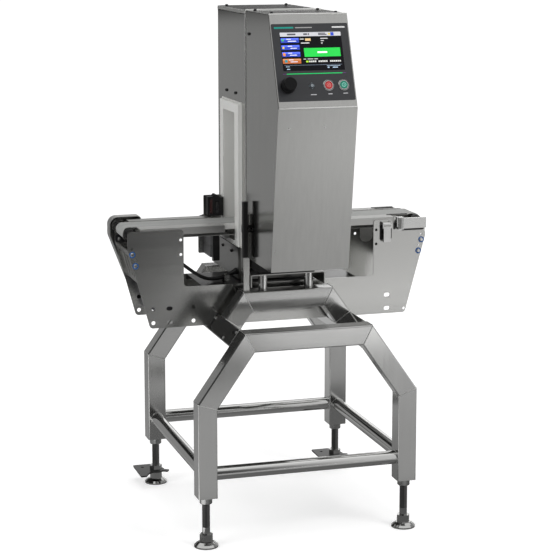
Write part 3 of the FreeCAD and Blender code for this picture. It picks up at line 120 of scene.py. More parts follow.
class DetectorPlastics(bpy.types.PropertyGroup):
    """Colours of the plastics, the belt and the screen"""
    frame_grey: tone("Frame", "Aperture frames and tunnel", (0.66, 0.66, 0.64))
    belt_grey: tone("Belt", "Conveyor belt", (0.34, 0.345, 0.335))
    panel: tone("Panel", "Membrane panel of the display face", (0.030, 0.031, 0.034))
    black: tone("Black", "Black mouldings and rubber", (0.007, 0.007, 0.0075))
    case_grey: tone("Case", "Amplifier case", (0.19, 0.19, 0.195))
    screen: tone("Screen", "Dark page of the screen", (0.004, 0.004, 0.006))
    pass_green: tone("Pass", "Large result block", (0.005, 0.50, 0.05))
    page_blue: tone("Page key", "Page keys on the screen", (0.02, 0.05, 0.42))
    page_orange: tone("Warm key", "Lowest page key on the screen", (0.42, 0.10, 0.02))
    stop_red: tone("Stop", "Stop key", (0.42, 0.008, 0.010))
    start_green: tone("Start", "Start key", (0.0, 0.20, 0.125))
    washer_blue: tone("Washer", "Blue sealing washers", (0.006, 0.085, 0.30))


class DetectorSizes(bpy.types.PropertyGroup):
    """Sizes of the small pieces"""
    weld: length("Weld", "Radius of the ground weld beads", 0.0011)
    washer: length("Washer", "Outer radius of the blue washers", 0.0098)
    side_screw: length("Side screw", "Radius of the screw heads in the side members", 0.0042)
    lead: length("Lead", "Diameter of the drive's lead", 0.011)
    head_screw: length("Head screw", "Radius of the black screws of the head", 0.0050)
    cover_screw: length("Cover screw", "Radius of the cover's screw heads", 0.0032)
    line: length("Panel line", "Width of the green line under the screen", 0.0024)
    print_depth: length("Print", "Thickness of printed marks", 0.00015)


# Meshes


def put_mesh(name, points, quads=(), triangles=(), sharp=40.0):
    """A mesh object from arrays of points, quads and triangles, smooth up to an edge angle."""
    points = np.asarray(points, np.float32).reshape(-1, 3)
    quads = np.asarray(quads, np.int32).reshape(-1, 4)
    triangles = np.asarray(triangles, np.int32).reshape(-1, 3)
    mesh = bpy.data.meshes.new(name)
    mesh.vertices.add(len(points))
    mesh.vertices.foreach_set("co", points.ravel())
    corners = np.concatenate([quads.ravel(), triangles.ravel()])
    mesh.loops.add(len(corners))
    mesh.loops.foreach_set("vertex_index", corners)
    starts = np.concatenate([np.arange(len(quads)) * 4, len(quads) * 4 + np.arange(len(triangles)) * 3])
    mesh.polygons.add(len(starts))
    mesh.polygons.foreach_set("loop_start", starts.astype(np.int32))
    mesh.update(calc_edges=True)
    mesh.validate()
    mesh.polygons.foreach_set("use_smooth", np.ones(len(mesh.polygons), bool))
    mesh.set_sharp_from_angle(angle=math.radians(sharp))
    piece = bpy.data.objects.new(name, mesh)
    bpy.context.scene.collection.objects.link(piece)
    return piece


def ring_faces(rings, around, looped=False, first=0):
    """Quads between neighbouring rings of points, and the last back to the first where looped."""
    i = np.arange(rings if looped else rings - 1)[:, None]
    j = np.arange(around)[None, :]
    k = (j + 1) % around
    n = (i + 1) % rings
    return first + np.stack([i * around + j, i * around + k, n * around + k, n * around + j], -1).reshape(-1, 4)


def closed_shell(rings):
    """Points and faces of rings (m, n, 3) with a middle point closing each end."""
    m, n = rings.shape[:2]
    points = np.concatenate([rings.reshape(-1, 3), rings[0].mean(0)[None], rings[-1].mean(0)[None]])
    j = np.arange(n)
    k = (j + 1) % n
    low = np.stack([np.full(n, m * n), k, j], -1)
    high = np.stack([np.full(n, m * n + 1), (m - 1) * n + j, (m - 1) * n + k], -1)
    return points, ring_faces(m, n), np.concatenate([low, high])


def outward(shell):
    """Turns a shell's faces round where its signed volume, the sum of a . (b x c) / 6, is below zero."""
    p, q, t = (np.asarray(part, kind) for part, kind in zip(shell, (float, int, int)))
    p, q, t = p.reshape(-1, 3), q.reshape(-1, 4), t.reshape(-1, 3)
    c = p - p.mean(0)
    f = np.concatenate([q[:, [0, 1, 2]], q[:, [0, 2, 3]], t])
    volume = np.einsum("ij,ij->i", c[f[:, 0]], np.cross(c[f[:, 1]], c[f[:, 2]])).sum()
    return (p, q[:, ::-1], t[:, ::-1]) if volume < 0 else (p, q, t)


def joined(name, shells, sharp=40.0):
    """One object from several (points, quads, triangles) shells."""
    points, quads, triangles, first = [], [], [], 0
    for p, q, t in map(outward, shells):
        points.append(np.asarray(p, float).reshape(-1, 3))
        quads.append(np.asarray(q, int).reshape(-1, 4) + first)
        triangles.append(np.asarray(t, int).reshape(-1, 3) + first)
        first += len(points[-1])
    return put_mesh(name, np.concatenate(points), np.concatenate(quads), np.concatenate(triangles), sharp)


def axes_of(normal):
    """Two unit vectors that make a right-handed set with the normal."""
    n = np.asarray(normal, float)
    n = n / np.linalg.norm(n)
    other = np.array([0.0, 0.0, 1.0]) if abs(n[2]) < 0.9 else np.array([1.0, 0.0, 0.0])
    a = np.cross(other, n)
    a = a / np.linalg.norm(a)
    return a, np.cross(n, a), n


def turned(profile, centre, axis, sides=40):
    """Shell of a (radius, height) profile carried round an axis:
    point = centre + r cos(t) a + r sin(t) b + h n, for each angle t."""
    a, b, n = axes_of(axis)
    r, h = np.array(profile, float).T
    t = np.linspace(0, 2 * math.pi, sides, endpoint=False)
    spokes = np.cos(t)[:, None] * a + np.sin(t)[:, None] * b
    rings = np.asarray(centre, float) + r[:, None, None] * spokes[None] + h[:, None, None] * n
    return closed_shell(rings)


def rounded_rectangle(width, height, corner, steps=5):
    """Outline of (a, b) points: each corner is a quarter circle about a point set in by the radius."""
    corner = min(corner, width / 2, height / 2)
    t = np.linspace(0, math.pi / 2, steps)
    quarter = np.stack([np.cos(t), np.sin(t)], -1) * corner
    outline = []
    for k, (sa, sb) in enumerate(((1, 1), (-1, 1), (-1, -1), (1, -1))):
        c, s = math.cos(k * math.pi / 2), math.sin(k * math.pi / 2)
        turn = np.array([[c, s], [-s, c]])
        outline.append(quarter @ turn + np.array([sa * (width / 2 - corner), sb * (height / 2 - corner)]))
    return np.concatenate(outline)


def slab(place, centre, width, height, low, high, corner=0.001, edge=0.0003):
    """Shell of a flat block with round corners: the outline at n = low and near high, then set in by the edge."""
    outer = rounded_rectangle(width, height, corner)
    inner = rounded_rectangle(width - 2 * edge, height - 2 * edge, max(corner - edge, edge))
    levels = [(outer, low), (outer, high - edge), (inner, high)]
    rings = np.array([place(centre[0] + o[:, 0], centre[1] + o[:, 1], n) for o, n in levels])
    return closed_shell(rings)


def bead(path, normal, radius, closed=True, sides=8):
    """Shell of a round bead along a flat path: ring = p + r (cos t side + sin t normal) at each point."""
    path = np.asarray(path, float)
    n = np.asarray(normal, float)
    if closed:
        ahead = np.roll(path, -1, 0) - np.roll(path, 1, 0)
    else:
        ahead = np.gradient(path, axis=0)
    ahead = ahead / np.linalg.norm(ahead, axis=1)[:, None]
    side = np.cross(n, ahead)
    t = np.linspace(0, 2 * math.pi, sides, endpoint=False)
    rings = path[:, None] + radius * (np.cos(t)[None, :, None] * side[:, None] + np.sin(t)[None, :, None] * n)
    if closed:
        return rings.reshape(-1, 3), ring_faces(len(path), sides, looped=True), np.zeros((0, 3), int)
    return closed_shell(rings)


def strap(path, along, width, thickness):
    """Shell of a flat strap bent along a path: at each point a rectangle, width along one axis and
    thickness across the path."""
    path = np.asarray(path, float)
    a = np.asarray(along, float)
    ahead = np.gradient(path, axis=0)
    ahead = ahead / np.linalg.norm(ahead, axis=1)[:, None]
    up = np.cross(ahead, a)
    corners = ((1, 1), (-1, 1), (-1, -1), (1, -1))
    rings = np.stack([path + a * width / 2 * i + up * thickness / 2 * j for i, j in corners], 1)
    return closed_shell(rings)


def rounded_loop(corners, radius, steps=5):
    """A closed path through corner points, each corner a quadratic curve:
    (1-t)^2 a + 2t(1-t) p + t^2 b, from a before the corner p to b after it."""
    p = np.asarray(corners, float)
    before, after = np.roll(p, 1, 0) - p, np.roll(p, -1, 0) - p
    a = p + radius * before / np.linalg.norm(before, axis=1)[:, None]
    b = p + radius * after / np.linalg.norm(after, axis=1)[:, None]
    t = np.linspace(0, 1, steps)[None, :, None]
    return ((1 - t) ** 2 * a[:, None] + 2 * t * (1 - t) * p[:, None] + t ** 2 * b[:, None]).reshape(-1, 3)


def hoop(profile, centre, axis, sides=40):
    """Shell of a closed (radius, height) profile carried round an axis, with a hole in the middle."""
    a, b, n = axes_of(axis)
    r, h = np.array(profile, float).T
    t = np.linspace(0, 2 * math.pi, sides, endpoint=False)
    spokes = np.cos(t)[:, None] * a + np.sin(t)[:, None] * b
    rings = np.asarray(centre, float) + r[:, None, None] * spokes[None] + h[:, None, None] * n
    return rings.reshape(-1, 3), ring_faces(len(r), sides, looped=True), np.zeros((0, 3), int)


def tiles(name, blocks, depth, corner=0.0008):
    """Printed or lit blocks on the display face; each block is (x0, x1, down0, down1) in millimetres."""
    shells = []
    for x0, x1, d0, d1 in blocks:
        middle = ((x0 + x1) / 2000, -(d0 + d1) / 2000)
        shells.append(slab(on_face, middle, (x1 - x0) / 1000, (d1 - d0) / 1000, *depth, corner=corner, edge=0.00002))
    return joined(name, shells)


def dress(piece, material, body="machine", replaces=()):
    """Gives a new piece its material and the body it rides on, and hides the CAD parts it replaces."""
    piece.data.materials.clear()
    piece.data.materials.append(material)
    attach(piece, body)
    if replaces:
        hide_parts(*replaces)
    return piece


# Materials


def group_of(name, inputs, outputs):
    """A new shader node group with its sockets; returns it with its input and output nodes."""
    made = bpy.data.node_groups.get(name)
    if made:
        return made, None, None
    made = bpy.data.node_groups.new(name, "ShaderNodeTree")
    for label, kind, value in inputs:
        socket = made.interface.new_socket(label, in_out="INPUT", socket_type=kind)
        socket.default_value = value
    for label, kind in outputs:
        made.interface.new_socket(label, in_out="OUTPUT", socket_type=kind)
    return made, made.nodes.new("NodeGroupInput"), made.nodes.new("NodeGroupOutput")


def math_node(tree, operation, a, b=None, clamp=False):
    node = tree.nodes.new("ShaderNodeMath")
    node.operation = operation
    node.use_clamp = clamp
    for k, value in enumerate((a, b)):
        if value is None:
            continue
        if isinstance(value, (int, float)):
            node.inputs[k].default_value = value
        else:
            tree.links.new(value, node.inputs[k])
    return node.outputs[0]


def brushed_group():
    """Brushed metal: noise drawn out along the brushing, a wide soft cloud and fine scratches."""
    made, start, end = group_of(
        "brushed metal",
        [("Colour", "NodeSocketColor", (0.5, 0.5, 0.5, 1)), ("Stretch", "NodeSocketVector", (60, 60, 2)),
         ("Contrast", "NodeSocketFloat", 0.1), ("Roughness", "NodeSocketFloat", 0.3), ("Spread", "NodeSocketFloat", 0.08)],
        [("Colour", "NodeSocketColor"), ("Roughness", "NodeSocketFloat"), ("Height", "NodeSocketFloat")])
    if start is None:
        return made
    place = made.nodes.new("ShaderNodeTexCoord")
    drawn = made.nodes.new("ShaderNodeVectorMath")
    drawn.operation = "MULTIPLY"
    made.links.new(place.outputs["Object"], drawn.inputs[0])
    made.links.new(start.outputs["Stretch"], drawn.inputs[1])
    grain = made.nodes.new("ShaderNodeTexNoise")
    grain.inputs["Scale"].default_value = 1.0
    grain.inputs["Detail"].default_value = 6.0
    grain.inputs["Roughness"].default_value = 0.62
    made.links.new(drawn.outputs[0], grain.inputs["Vector"])
    cloud = made.nodes.new("ShaderNodeTexNoise")
    cloud.inputs["Scale"].default_value = 5.0
    cloud.inputs["Detail"].default_value = 3.0
    made.links.new(place.outputs["Object"], cloud.inputs["Vector"])
    fine = made.nodes.new("ShaderNodeVectorMath")
    fine.operation = "MULTIPLY"
    fine.inputs[1].default_value = (14, 14, 14)
    made.links.new(drawn.outputs[0], fine.inputs[0])
    scratch = made.nodes.new("ShaderNodeTexNoise")
    scratch.inputs["Scale"].default_value = 1.0
    scratch.inputs["Detail"].default_value = 3.0
    made.links.new(fine.outputs[0], scratch.inputs["Vector"])
    offset = math_node(made, "SUBTRACT", grain.outputs["Fac"], 0.5)
    wide = math_node(made, "SUBTRACT", cloud.outputs["Fac"], 0.5)
    both = math_node(made, "ADD", offset, math_node(made, "MULTIPLY", wide, 0.55))
    change = math_node(made, "MULTIPLY", both, start.outputs["Contrast"])
    factor = math_node(made, "ADD", change, 1.0)
    scaled = made.nodes.new("ShaderNodeVectorMath")
    scaled.operation = "SCALE"
    made.links.new(start.outputs["Colour"], scaled.inputs[0])
    made.links.new(factor, scaled.inputs["Scale"])
    made.links.new(scaled.outputs[0], end.inputs["Colour"])
    rough = math_node(made, "ADD", start.outputs["Roughness"],
                      math_node(made, "MULTIPLY", both, start.outputs["Spread"]), clamp=True)
    made.links.new(rough, end.inputs["Roughness"])
    made.links.new(math_node(made, "ADD", math_node(made, "MULTIPLY", scratch.outputs["Fac"], 0.5), grain.outputs["Fac"]),
                   end.inputs["Height"])
    return made


def moulded_group():
    """Moulded plastic: a fine even grain in the height and a faint cloud in the colour and gloss."""
    made, start, end = group_of(
        "moulded plastic",
        [("Colour", "NodeSocketColor", (0.5, 0.5, 0.5, 1)), ("Grain", "NodeSocketFloat", 900.0),
         ("Contrast", "NodeSocketFloat", 0.08), ("Roughness", "NodeSocketFloat", 0.45)],
        [("Colour", "NodeSocketColor"), ("Roughness", "NodeSocketFloat"), ("Height", "NodeSocketFloat")])
    if start is None:
        return made
    place = made.nodes.new("ShaderNodeTexCoord")
    grain = made.nodes.new("ShaderNodeTexNoise")
    grain.inputs["Detail"].default_value = 2.0
    made.links.new(place.outputs["Object"], grain.inputs["Vector"])
    made.links.new(start.outputs["Grain"], grain.inputs["Scale"])
    cloud = made.nodes.new("ShaderNodeTexNoise")
    cloud.inputs["Scale"].default_value = 14.0
    cloud.inputs["Detail"].default_value = 4.0
    made.links.new(place.outputs["Object"], cloud.inputs["Vector"])
    wide = math_node(made, "SUBTRACT", cloud.outputs["Fac"], 0.5)
    factor = math_node(made, "ADD", math_node(made, "MULTIPLY", wide, start.outputs["Contrast"]), 1.0)
    scaled = made.nodes.new("ShaderNodeVectorMath")
    scaled.operation = "SCALE"
    made.links.new(start.outputs["Colour"], scaled.inputs[0])
    made.links.new(factor, scaled.inputs["Scale"])
    made.links.new(scaled.outputs[0], end.inputs["Colour"])
    made.links.new(math_node(made, "ADD", start.outputs["Roughness"], math_node(made, "MULTIPLY", wide, 0.15), clamp=True),
                   end.inputs["Roughness"])
    made.links.new(grain.outputs["Fac"], end.inputs["Height"])
    return made


def new_material(name):
    material = bpy.data.materials.new(name)
    material.use_nodes = True
    tree = material.node_tree
    return material, tree, tree.nodes["Principled BSDF"]


def add_bump(tree, shader, height, strength, distance):
    bump = tree.nodes.new("ShaderNodeBump")
    bump.inputs["Strength"].default_value = strength
    bump.inputs["Distance"].default_value = distance
    tree.links.new(height, bump.inputs["Height"])
    tree.links.new(bump.outputs["Normal"], shader.inputs["Normal"])


def brushed(name, colour, rough, stretch, contrast=0.10, spread=0.08, bump=0.08):
    """A brushed or polished metal whose grain runs along the axis with the smallest stretch."""
    material, tree, shader = new_material(name)
    shader.inputs["Metallic"].default_value = 1.0
    made = tree.nodes.new("ShaderNodeGroup")
    made.node_tree = brushed_group()
    made.inputs["Colour"].default_value = (*colour, 1)
    made.inputs["Stretch"].default_value = stretch
    made.inputs["Contrast"].default_value = contrast
    made.inputs["Roughness"].default_value = rough
    made.inputs["Spread"].default_value = spread
    tree.links.new(made.outputs["Colour"], shader.inputs["Base Color"])
    tree.links.new(made.outputs["Roughness"], shader.inputs["Roughness"])
    add_bump(tree, shader, made.outputs["Height"], bump, 0.0004)
    return material


def moulded(name, colour, rough, grain=900.0, contrast=0.08, bump=0.1, coat=0.0):
    """A moulded plastic, rubber or paint with a fine grain."""
    material, tree, shader = new_material(name)
    made = tree.nodes.new("ShaderNodeGroup")
    made.node_tree = moulded_group()
    made.inputs["Colour"].default_value = (*colour, 1)
    made.inputs["Grain"].default_value = grain
    made.inputs["Contrast"].default_value = contrast
    made.inputs["Roughness"].default_value = rough
    tree.links.new(made.outputs["Colour"], shader.inputs["Base Color"])
    tree.links.new(made.outputs["Roughness"], shader.inputs["Roughness"])
    shader.inputs["Coat Weight"].default_value = coat
    shader.inputs["Coat Roughness"].default_value = 0.08
    add_bump(tree, shader, made.outputs["Height"], bump, 0.0003)
    return material


def lit(name, colour, glow, rough=0.25):
    """A block of the screen's page: its own colour, shining a little, with a faint row pattern."""
    material, tree, shader = new_material(name)
    place = tree.nodes.new("ShaderNodeTexCoord")
    rows = tree.nodes.new("ShaderNodeTexWave")
    rows.bands_direction = "X"
    rows.inputs["Scale"].default_value = 260.0
    tree.links.new(place.outputs["Object"], rows.inputs["Vector"])
    ramp = tree.nodes.new("ShaderNodeValToRGB")
    ramp.color_ramp.elements[0].color = (*[c * 0.92 for c in colour], 1)
    ramp.color_ramp.elements[1].color = (*colour, 1)
    tree.links.new(rows.outputs["Fac"], ramp.inputs["Fac"])
    tree.links.new(ramp.outputs["Color"], shader.inputs["Base Color"])
    tree.links.new(ramp.outputs["Color"], shader.inputs["Emission Color"])
    shader.inputs["Emission Strength"].default_value = glow
    shader.inputs["Roughness"].default_value = rough
    return material


def belt_material(colour):
    """Conveyor belt: a fine cloth weave from two crossed waves, with long wear streaks."""
    material, tree, shader = new_material("conveyor_belt")
    place = tree.nodes.new("ShaderNodeTexCoord")
    waves = []
    for direction in ("X", "Y"):
        wave = tree.nodes.new("ShaderNodeTexWave")
        wave.bands_direction = direction
        wave.inputs["Scale"].default_value = 210.0
        tree.links.new(place.outputs["Object"], wave.inputs["Vector"])
        waves.append(wave.outputs["Fac"])
    weave = math_node(tree, "MULTIPLY", waves[0], waves[1])
    stretch = tree.nodes.new("ShaderNodeMapping")
    stretch.inputs["Scale"].default_value = (1.5, 60, 60)
    tree.links.new(place.outputs["Object"], stretch.inputs["Vector"])
    streak = tree.nodes.new("ShaderNodeTexNoise")
    streak.inputs["Scale"].default_value = 1.0
    streak.inputs["Detail"].default_value = 4.0
    tree.links.new(stretch.outputs[0], streak.inputs["Vector"])
    ramp = tree.nodes.new("ShaderNodeValToRGB")
    ramp.color_ramp.elements[0].position = 0.25
    ramp.color_ramp.elements[1].position = 0.75
    ramp.color_ramp.elements[0].color = (*[c * 0.88 for c in colour], 1)
    ramp.color_ramp.elements[1].color = (*[min(c * 1.06, 1.0) for c in colour], 1)
    tree.links.new(streak.outputs["Fac"], ramp.inputs["Fac"])
    tree.links.new(ramp.outputs["Color"], shader.inputs["Base Color"])
    shader.inputs["Roughness"].default_value = 0.48
    add_bump(tree, shader, weave, 0.12, 0.0003)
    return material


def turned_metal(name, colour, rough, axis, centre=(0, 0, 0)):
    """Lathe-turned metal: rings along the axis in the height, with an even polish."""
    material, tree, shader = new_material(name)
    shader.inputs["Metallic"].default_value = 1.0
    made = tree.nodes.new("ShaderNodeGroup")
    made.node_tree = brushed_group()
    made.inputs["Colour"].default_value = (*colour, 1)
    made.inputs["Stretch"].default_value = tuple(300.0 if k == axis else 6.0 for k in range(3))
    made.inputs["Contrast"].default_value = 0.08
    made.inputs["Roughness"].default_value = rough
    made.inputs["Spread"].default_value = 0.05
    tree.links.new(made.outputs["Colour"], shader.inputs["Base Color"])
    tree.links.new(made.outputs["Roughness"], shader.inputs["Roughness"])
    add_bump(tree, shader, made.outputs["Height"], 0.05, 0.0002)
    return material


def foot_metal(name, polished, thread, start):
    """Polished steel below a height and, above it, a darker screw thread: a wave along Z in the height."""
    material, tree, shader = new_material(name)
    shader.inputs["Metallic"].default_value = 1.0
    place = tree.nodes.new("ShaderNodeTexCoord")
    split = tree.nodes.new("ShaderNodeSeparateXYZ")
    tree.links.new(place.outputs["Object"], split.inputs[0])
    above = math_node(tree, "GREATER_THAN", split.outputs["Z"], start)
    made = tree.nodes.new("ShaderNodeGroup")
    made.node_tree = brushed_group()
    made.inputs["Stretch"].default_value = (12, 12, 160)
    made.inputs["Contrast"].default_value = 0.2
    made.inputs["Roughness"].default_value = 0.14
    ramp = tree.nodes.new("ShaderNodeValToRGB")
    ramp.color_ramp.interpolation = "CONSTANT"
    ramp.color_ramp.elements[0].color = (*polished, 1)
    ramp.color_ramp.elements[1].position = 0.5
    ramp.color_ramp.elements[1].color = (*thread, 1)
    tree.links.new(above, ramp.inputs["Fac"])
    tree.links.new(ramp.outputs["Color"], made.inputs["Colour"])
    tree.links.new(made.outputs["Colour"], shader.inputs["Base Color"])
    rough = math_node(tree, "ADD", made.outputs["Roughness"], math_node(tree, "MULTIPLY", above, 0.16))
    tree.links.new(rough, shader.inputs["Roughness"])
    pitch = tree.nodes.new("ShaderNodeTexWave")
    pitch.bands_direction = "Z"
    pitch.inputs["Scale"].default_value = 105.0
    tree.links.new(place.outputs["Object"], pitch.inputs["Vector"])
    add_bump(tree, shader, math_node(tree, "MULTIPLY", pitch.outputs["Fac"], above), 0.6, 0.0010)
    return material


def paint_node(node, material):
    """Puts one material on a CAD node's own slots."""
    slots = nodes[node].material_slots
    if not slots:
        nodes[node].data.materials.append(material)
    for slot in slots:
        slot.material = material


# Operators


def card(name, corners, fades):
    """A card seen only in reflections. Its tone is the product of smooth fades along axes,
    each given as (axis, from, to, first tone, last tone)."""
    panel = put_mesh(name, corners, [(0, 1, 2, 3)])
    material, tree, shader = new_material(name)
    tree.nodes.remove(shader)
    glow = tree.nodes.new("ShaderNodeEmission")
    place = tree.nodes.new("ShaderNodeTexCoord")
    split = tree.nodes.new("ShaderNodeSeparateXYZ")
    tree.links.new(place.outputs["Object"], split.inputs[0])
    tone_so_far = None
    for axis, start, end, first, last in fades:
        fade = tree.nodes.new("ShaderNodeMapRange")
        fade.interpolation_type = "SMOOTHSTEP"
        for label, value in (("From Min", start), ("From Max", end), ("To Min", first), ("To Max", last)):
            fade.inputs[label].default_value = value
        tree.links.new(split.outputs[axis], fade.inputs["Value"])
        tone_so_far = fade.outputs[0] if tone_so_far is None else math_node(tree, "MULTIPLY", tone_so_far, fade.outputs[0])
    tree.links.new(tone_so_far, glow.inputs["Strength"])
    tree.links.new(glow.outputs[0], tree.nodes["Material Output"].inputs["Surface"])
    panel.data.materials.append(material)
    panel.visible_camera = False
    panel.visible_diffuse = False
    panel.visible_shadow = False
    panel.visible_transmission = False


def background_rays(tree):
    """1 for camera, glossy and transmission rays, 0 for the rest."""
    seen = tree.nodes.new("ShaderNodeLightPath")
    glossy = math_node(tree, "MAXIMUM", seen.outputs["Is Camera Ray"], seen.outputs["Is Glossy Ray"])
    return math_node(tree, "MAXIMUM", glossy, seen.outputs["Is Transmission Ray"])


def lamp(name, place, aim, size, power):
    """A soft rectangular lamp that metal doesn't mirror."""
    light = bpy.data.lights.new(name, "AREA")
    light.shape = "RECTANGLE"
    light.size = light.size_y = size
    light.energy = power
    holder = bpy.data.objects.new(name, light)
    bpy.context.scene.collection.objects.link(holder)
    holder.location = place
    holder.rotation_euler = (Vector(aim) - Vector(place)).to_track_quat("-Z", "Y").to_euler()
    holder.visible_glossy = False


class DETECTOR_OT_stage(bpy.types.Operator):
    """Pale floor, soft lamps, reflecting cards and the camera"""
    bl_idname = "detector.stage"
    bl_label = "Stage"

    def execute(self, context):
        camera = bpy.data.cameras.new("camera")
        holder = bpy.data.objects.new("camera", camera)
        context.scene.collection.objects.link(holder)
        context.scene.camera = holder
        holder.location = (-1.6574, -5.4790, 1.8953)
        holder.rotation_euler = (math.radians(90 - 9.563), 0, -math.radians(16.965))
        camera.sensor_width = 36.0
        camera.lens = 1829.0 / picture * 36.0
        camera.shift_y = -0.1
        camera.clip_end = 200
        context.scene.view_settings.view_transform = "Standard"

        wide = 60.0
        floor = put_mesh("floor", [(-wide, -wide, -0.0004), (wide, -wide, -0.0004), (wide, wide, -0.0004), (-wide, wide, -0.0004)],
                         [(0, 1, 2, 3)])
        material, tree, shader = new_material("pale_floor")
        tree.nodes.remove(shader)
        matte = tree.nodes.new("ShaderNodeBsdfDiffuse")
        matte.inputs["Color"].default_value = (0.80, 0.80, 0.80, 1)
        place = tree.nodes.new("ShaderNodeTexCoord")
        reach = tree.nodes.new("ShaderNodeVectorMath")
        reach.operation = "LENGTH"
        tree.links.new(place.outputs["Object"], reach.inputs[0])
        away = tree.nodes.new("ShaderNodeMapRange")
        away.interpolation_type = "SMOOTHSTEP"
        for label, value in (("From Min", 1.0), ("From Max", 4.0), ("To Min", 0.46), ("To Max", 0.72)):
            away.inputs[label].default_value = value
        tree.links.new(reach.outputs["Value"], away.inputs["Value"])
        glow = tree.nodes.new("ShaderNodeEmission")
        tree.links.new(math_node(tree, "MULTIPLY", background_rays(tree), away.outputs[0]), glow.inputs["Strength"])
        both = tree.nodes.new("ShaderNodeAddShader")
        tree.links.new(matte.outputs[0], both.inputs[0])
        tree.links.new(glow.outputs[0], both.inputs[1])
        tree.links.new(both.outputs[0], tree.nodes["Material Output"].inputs["Surface"])
        floor.data.materials.append(material)

        world = bpy.data.worlds.new("studio")
        context.scene.world = world
        world.use_nodes = True
        tree = world.node_tree
        backdrop = tree.nodes["Background"]
        backdrop.inputs["Color"].default_value = (1, 1, 1, 1)
        seen = math_node(tree, "MULTIPLY", background_rays(tree), 0.55)
        tree.links.new(math_node(tree, "ADD", seen, 0.45), backdrop.inputs["Strength"])

        lamp("key", (2.6, -3.6, 3.6), (0, 0, 0.8), 2.2, 95)
        lamp("fill", (-3.6, -1.6, 2.2), (0, 0, 0.9), 2.0, 60)
        lamp("top", (0.2, 0.6, 4.2), (0, 0, 0.8), 2.6, 40)

        def level(x0, x1, y0, y1, z=0.001):
            return [(x0, y0, z), (x1, y0, z), (x1, y1, z), (x0, y1, z)]

        front, back, side, high = -4.6, 3.8, 4.5, 4.0
        card("card_floor_near", level(-side, side, -2.3, -0.75), [("Y", -0.9, -2.3, 0.44, 0.48)])
        over = ("X", 0.25, 0.82, 0.16, 1.0)
        card("card_floor_middle", level(-side, side, -3.2, -2.3), [("Y", -2.5, -3.1, 0.40, 1.85), over])
        card("card_floor_beyond", level(-side, side, -3.85, -3.2), [("Y", -3.2, -3.45, 1.50, 0.50), over])
        across = ("X", 0.80, 1.9, 0.05, 0.70)
        card("card_floor_far", level(-side, side, front, -3.85), [across])
        card("card_front", [(-side, front, 0), (side, front, 0), (side, front, high), (-side, front, high)], [across])
        card("card_front_high", [(-side, front, high), (side, front, high), (side, front, 9.0), (-side, front, 9.0)],
             [("X", 0.0, 1.6, 0.34, 0.75)])
        card("card_floor_rear", level(-side, -0.45, -0.2, back), [("Y", 0.0, 3.0, 0.34, 0.26)])
        card("card_rear_left", [(-0.3, back, 0), (-side, back, 0), (-side, back, high), (-0.3, back, high)],
             [("Z", 1.32, 1.46, 0.30, 0.015)])
        middle = 1.71
        card("card_rear_right", [(side, back, 1.2), (-0.3, back, 1.2), (-0.3, back, middle), (side, back, middle)],
             [("X", 0.80, 1.70, 0.24, 1.6)])
        card("card_rear_high", [(side, back, middle), (-0.3, back, middle), (-0.3, back, high), (side, back, high)],
             [("Z", 1.80, 3.0, 0.11, 0.75)])
        card("card_floor_under", level(-0.45, side, -0.75, back), [("Y", -0.3, 2.6, 0.16, 0.62)])
        card("card_left", [(-side, back, 0), (-side, front, 0), (-side, front, high), (-side, back, high)],
             [("Z", 0.5, 1.6, 0.30, 0.06)])
        card("card_right", [(side, front, 0), (side, back, 0), (side, back, high), (side, front, high)],
             [("Z", 0.5, 2.5, 0.70, 0.35)])
        return {"FINISHED"}


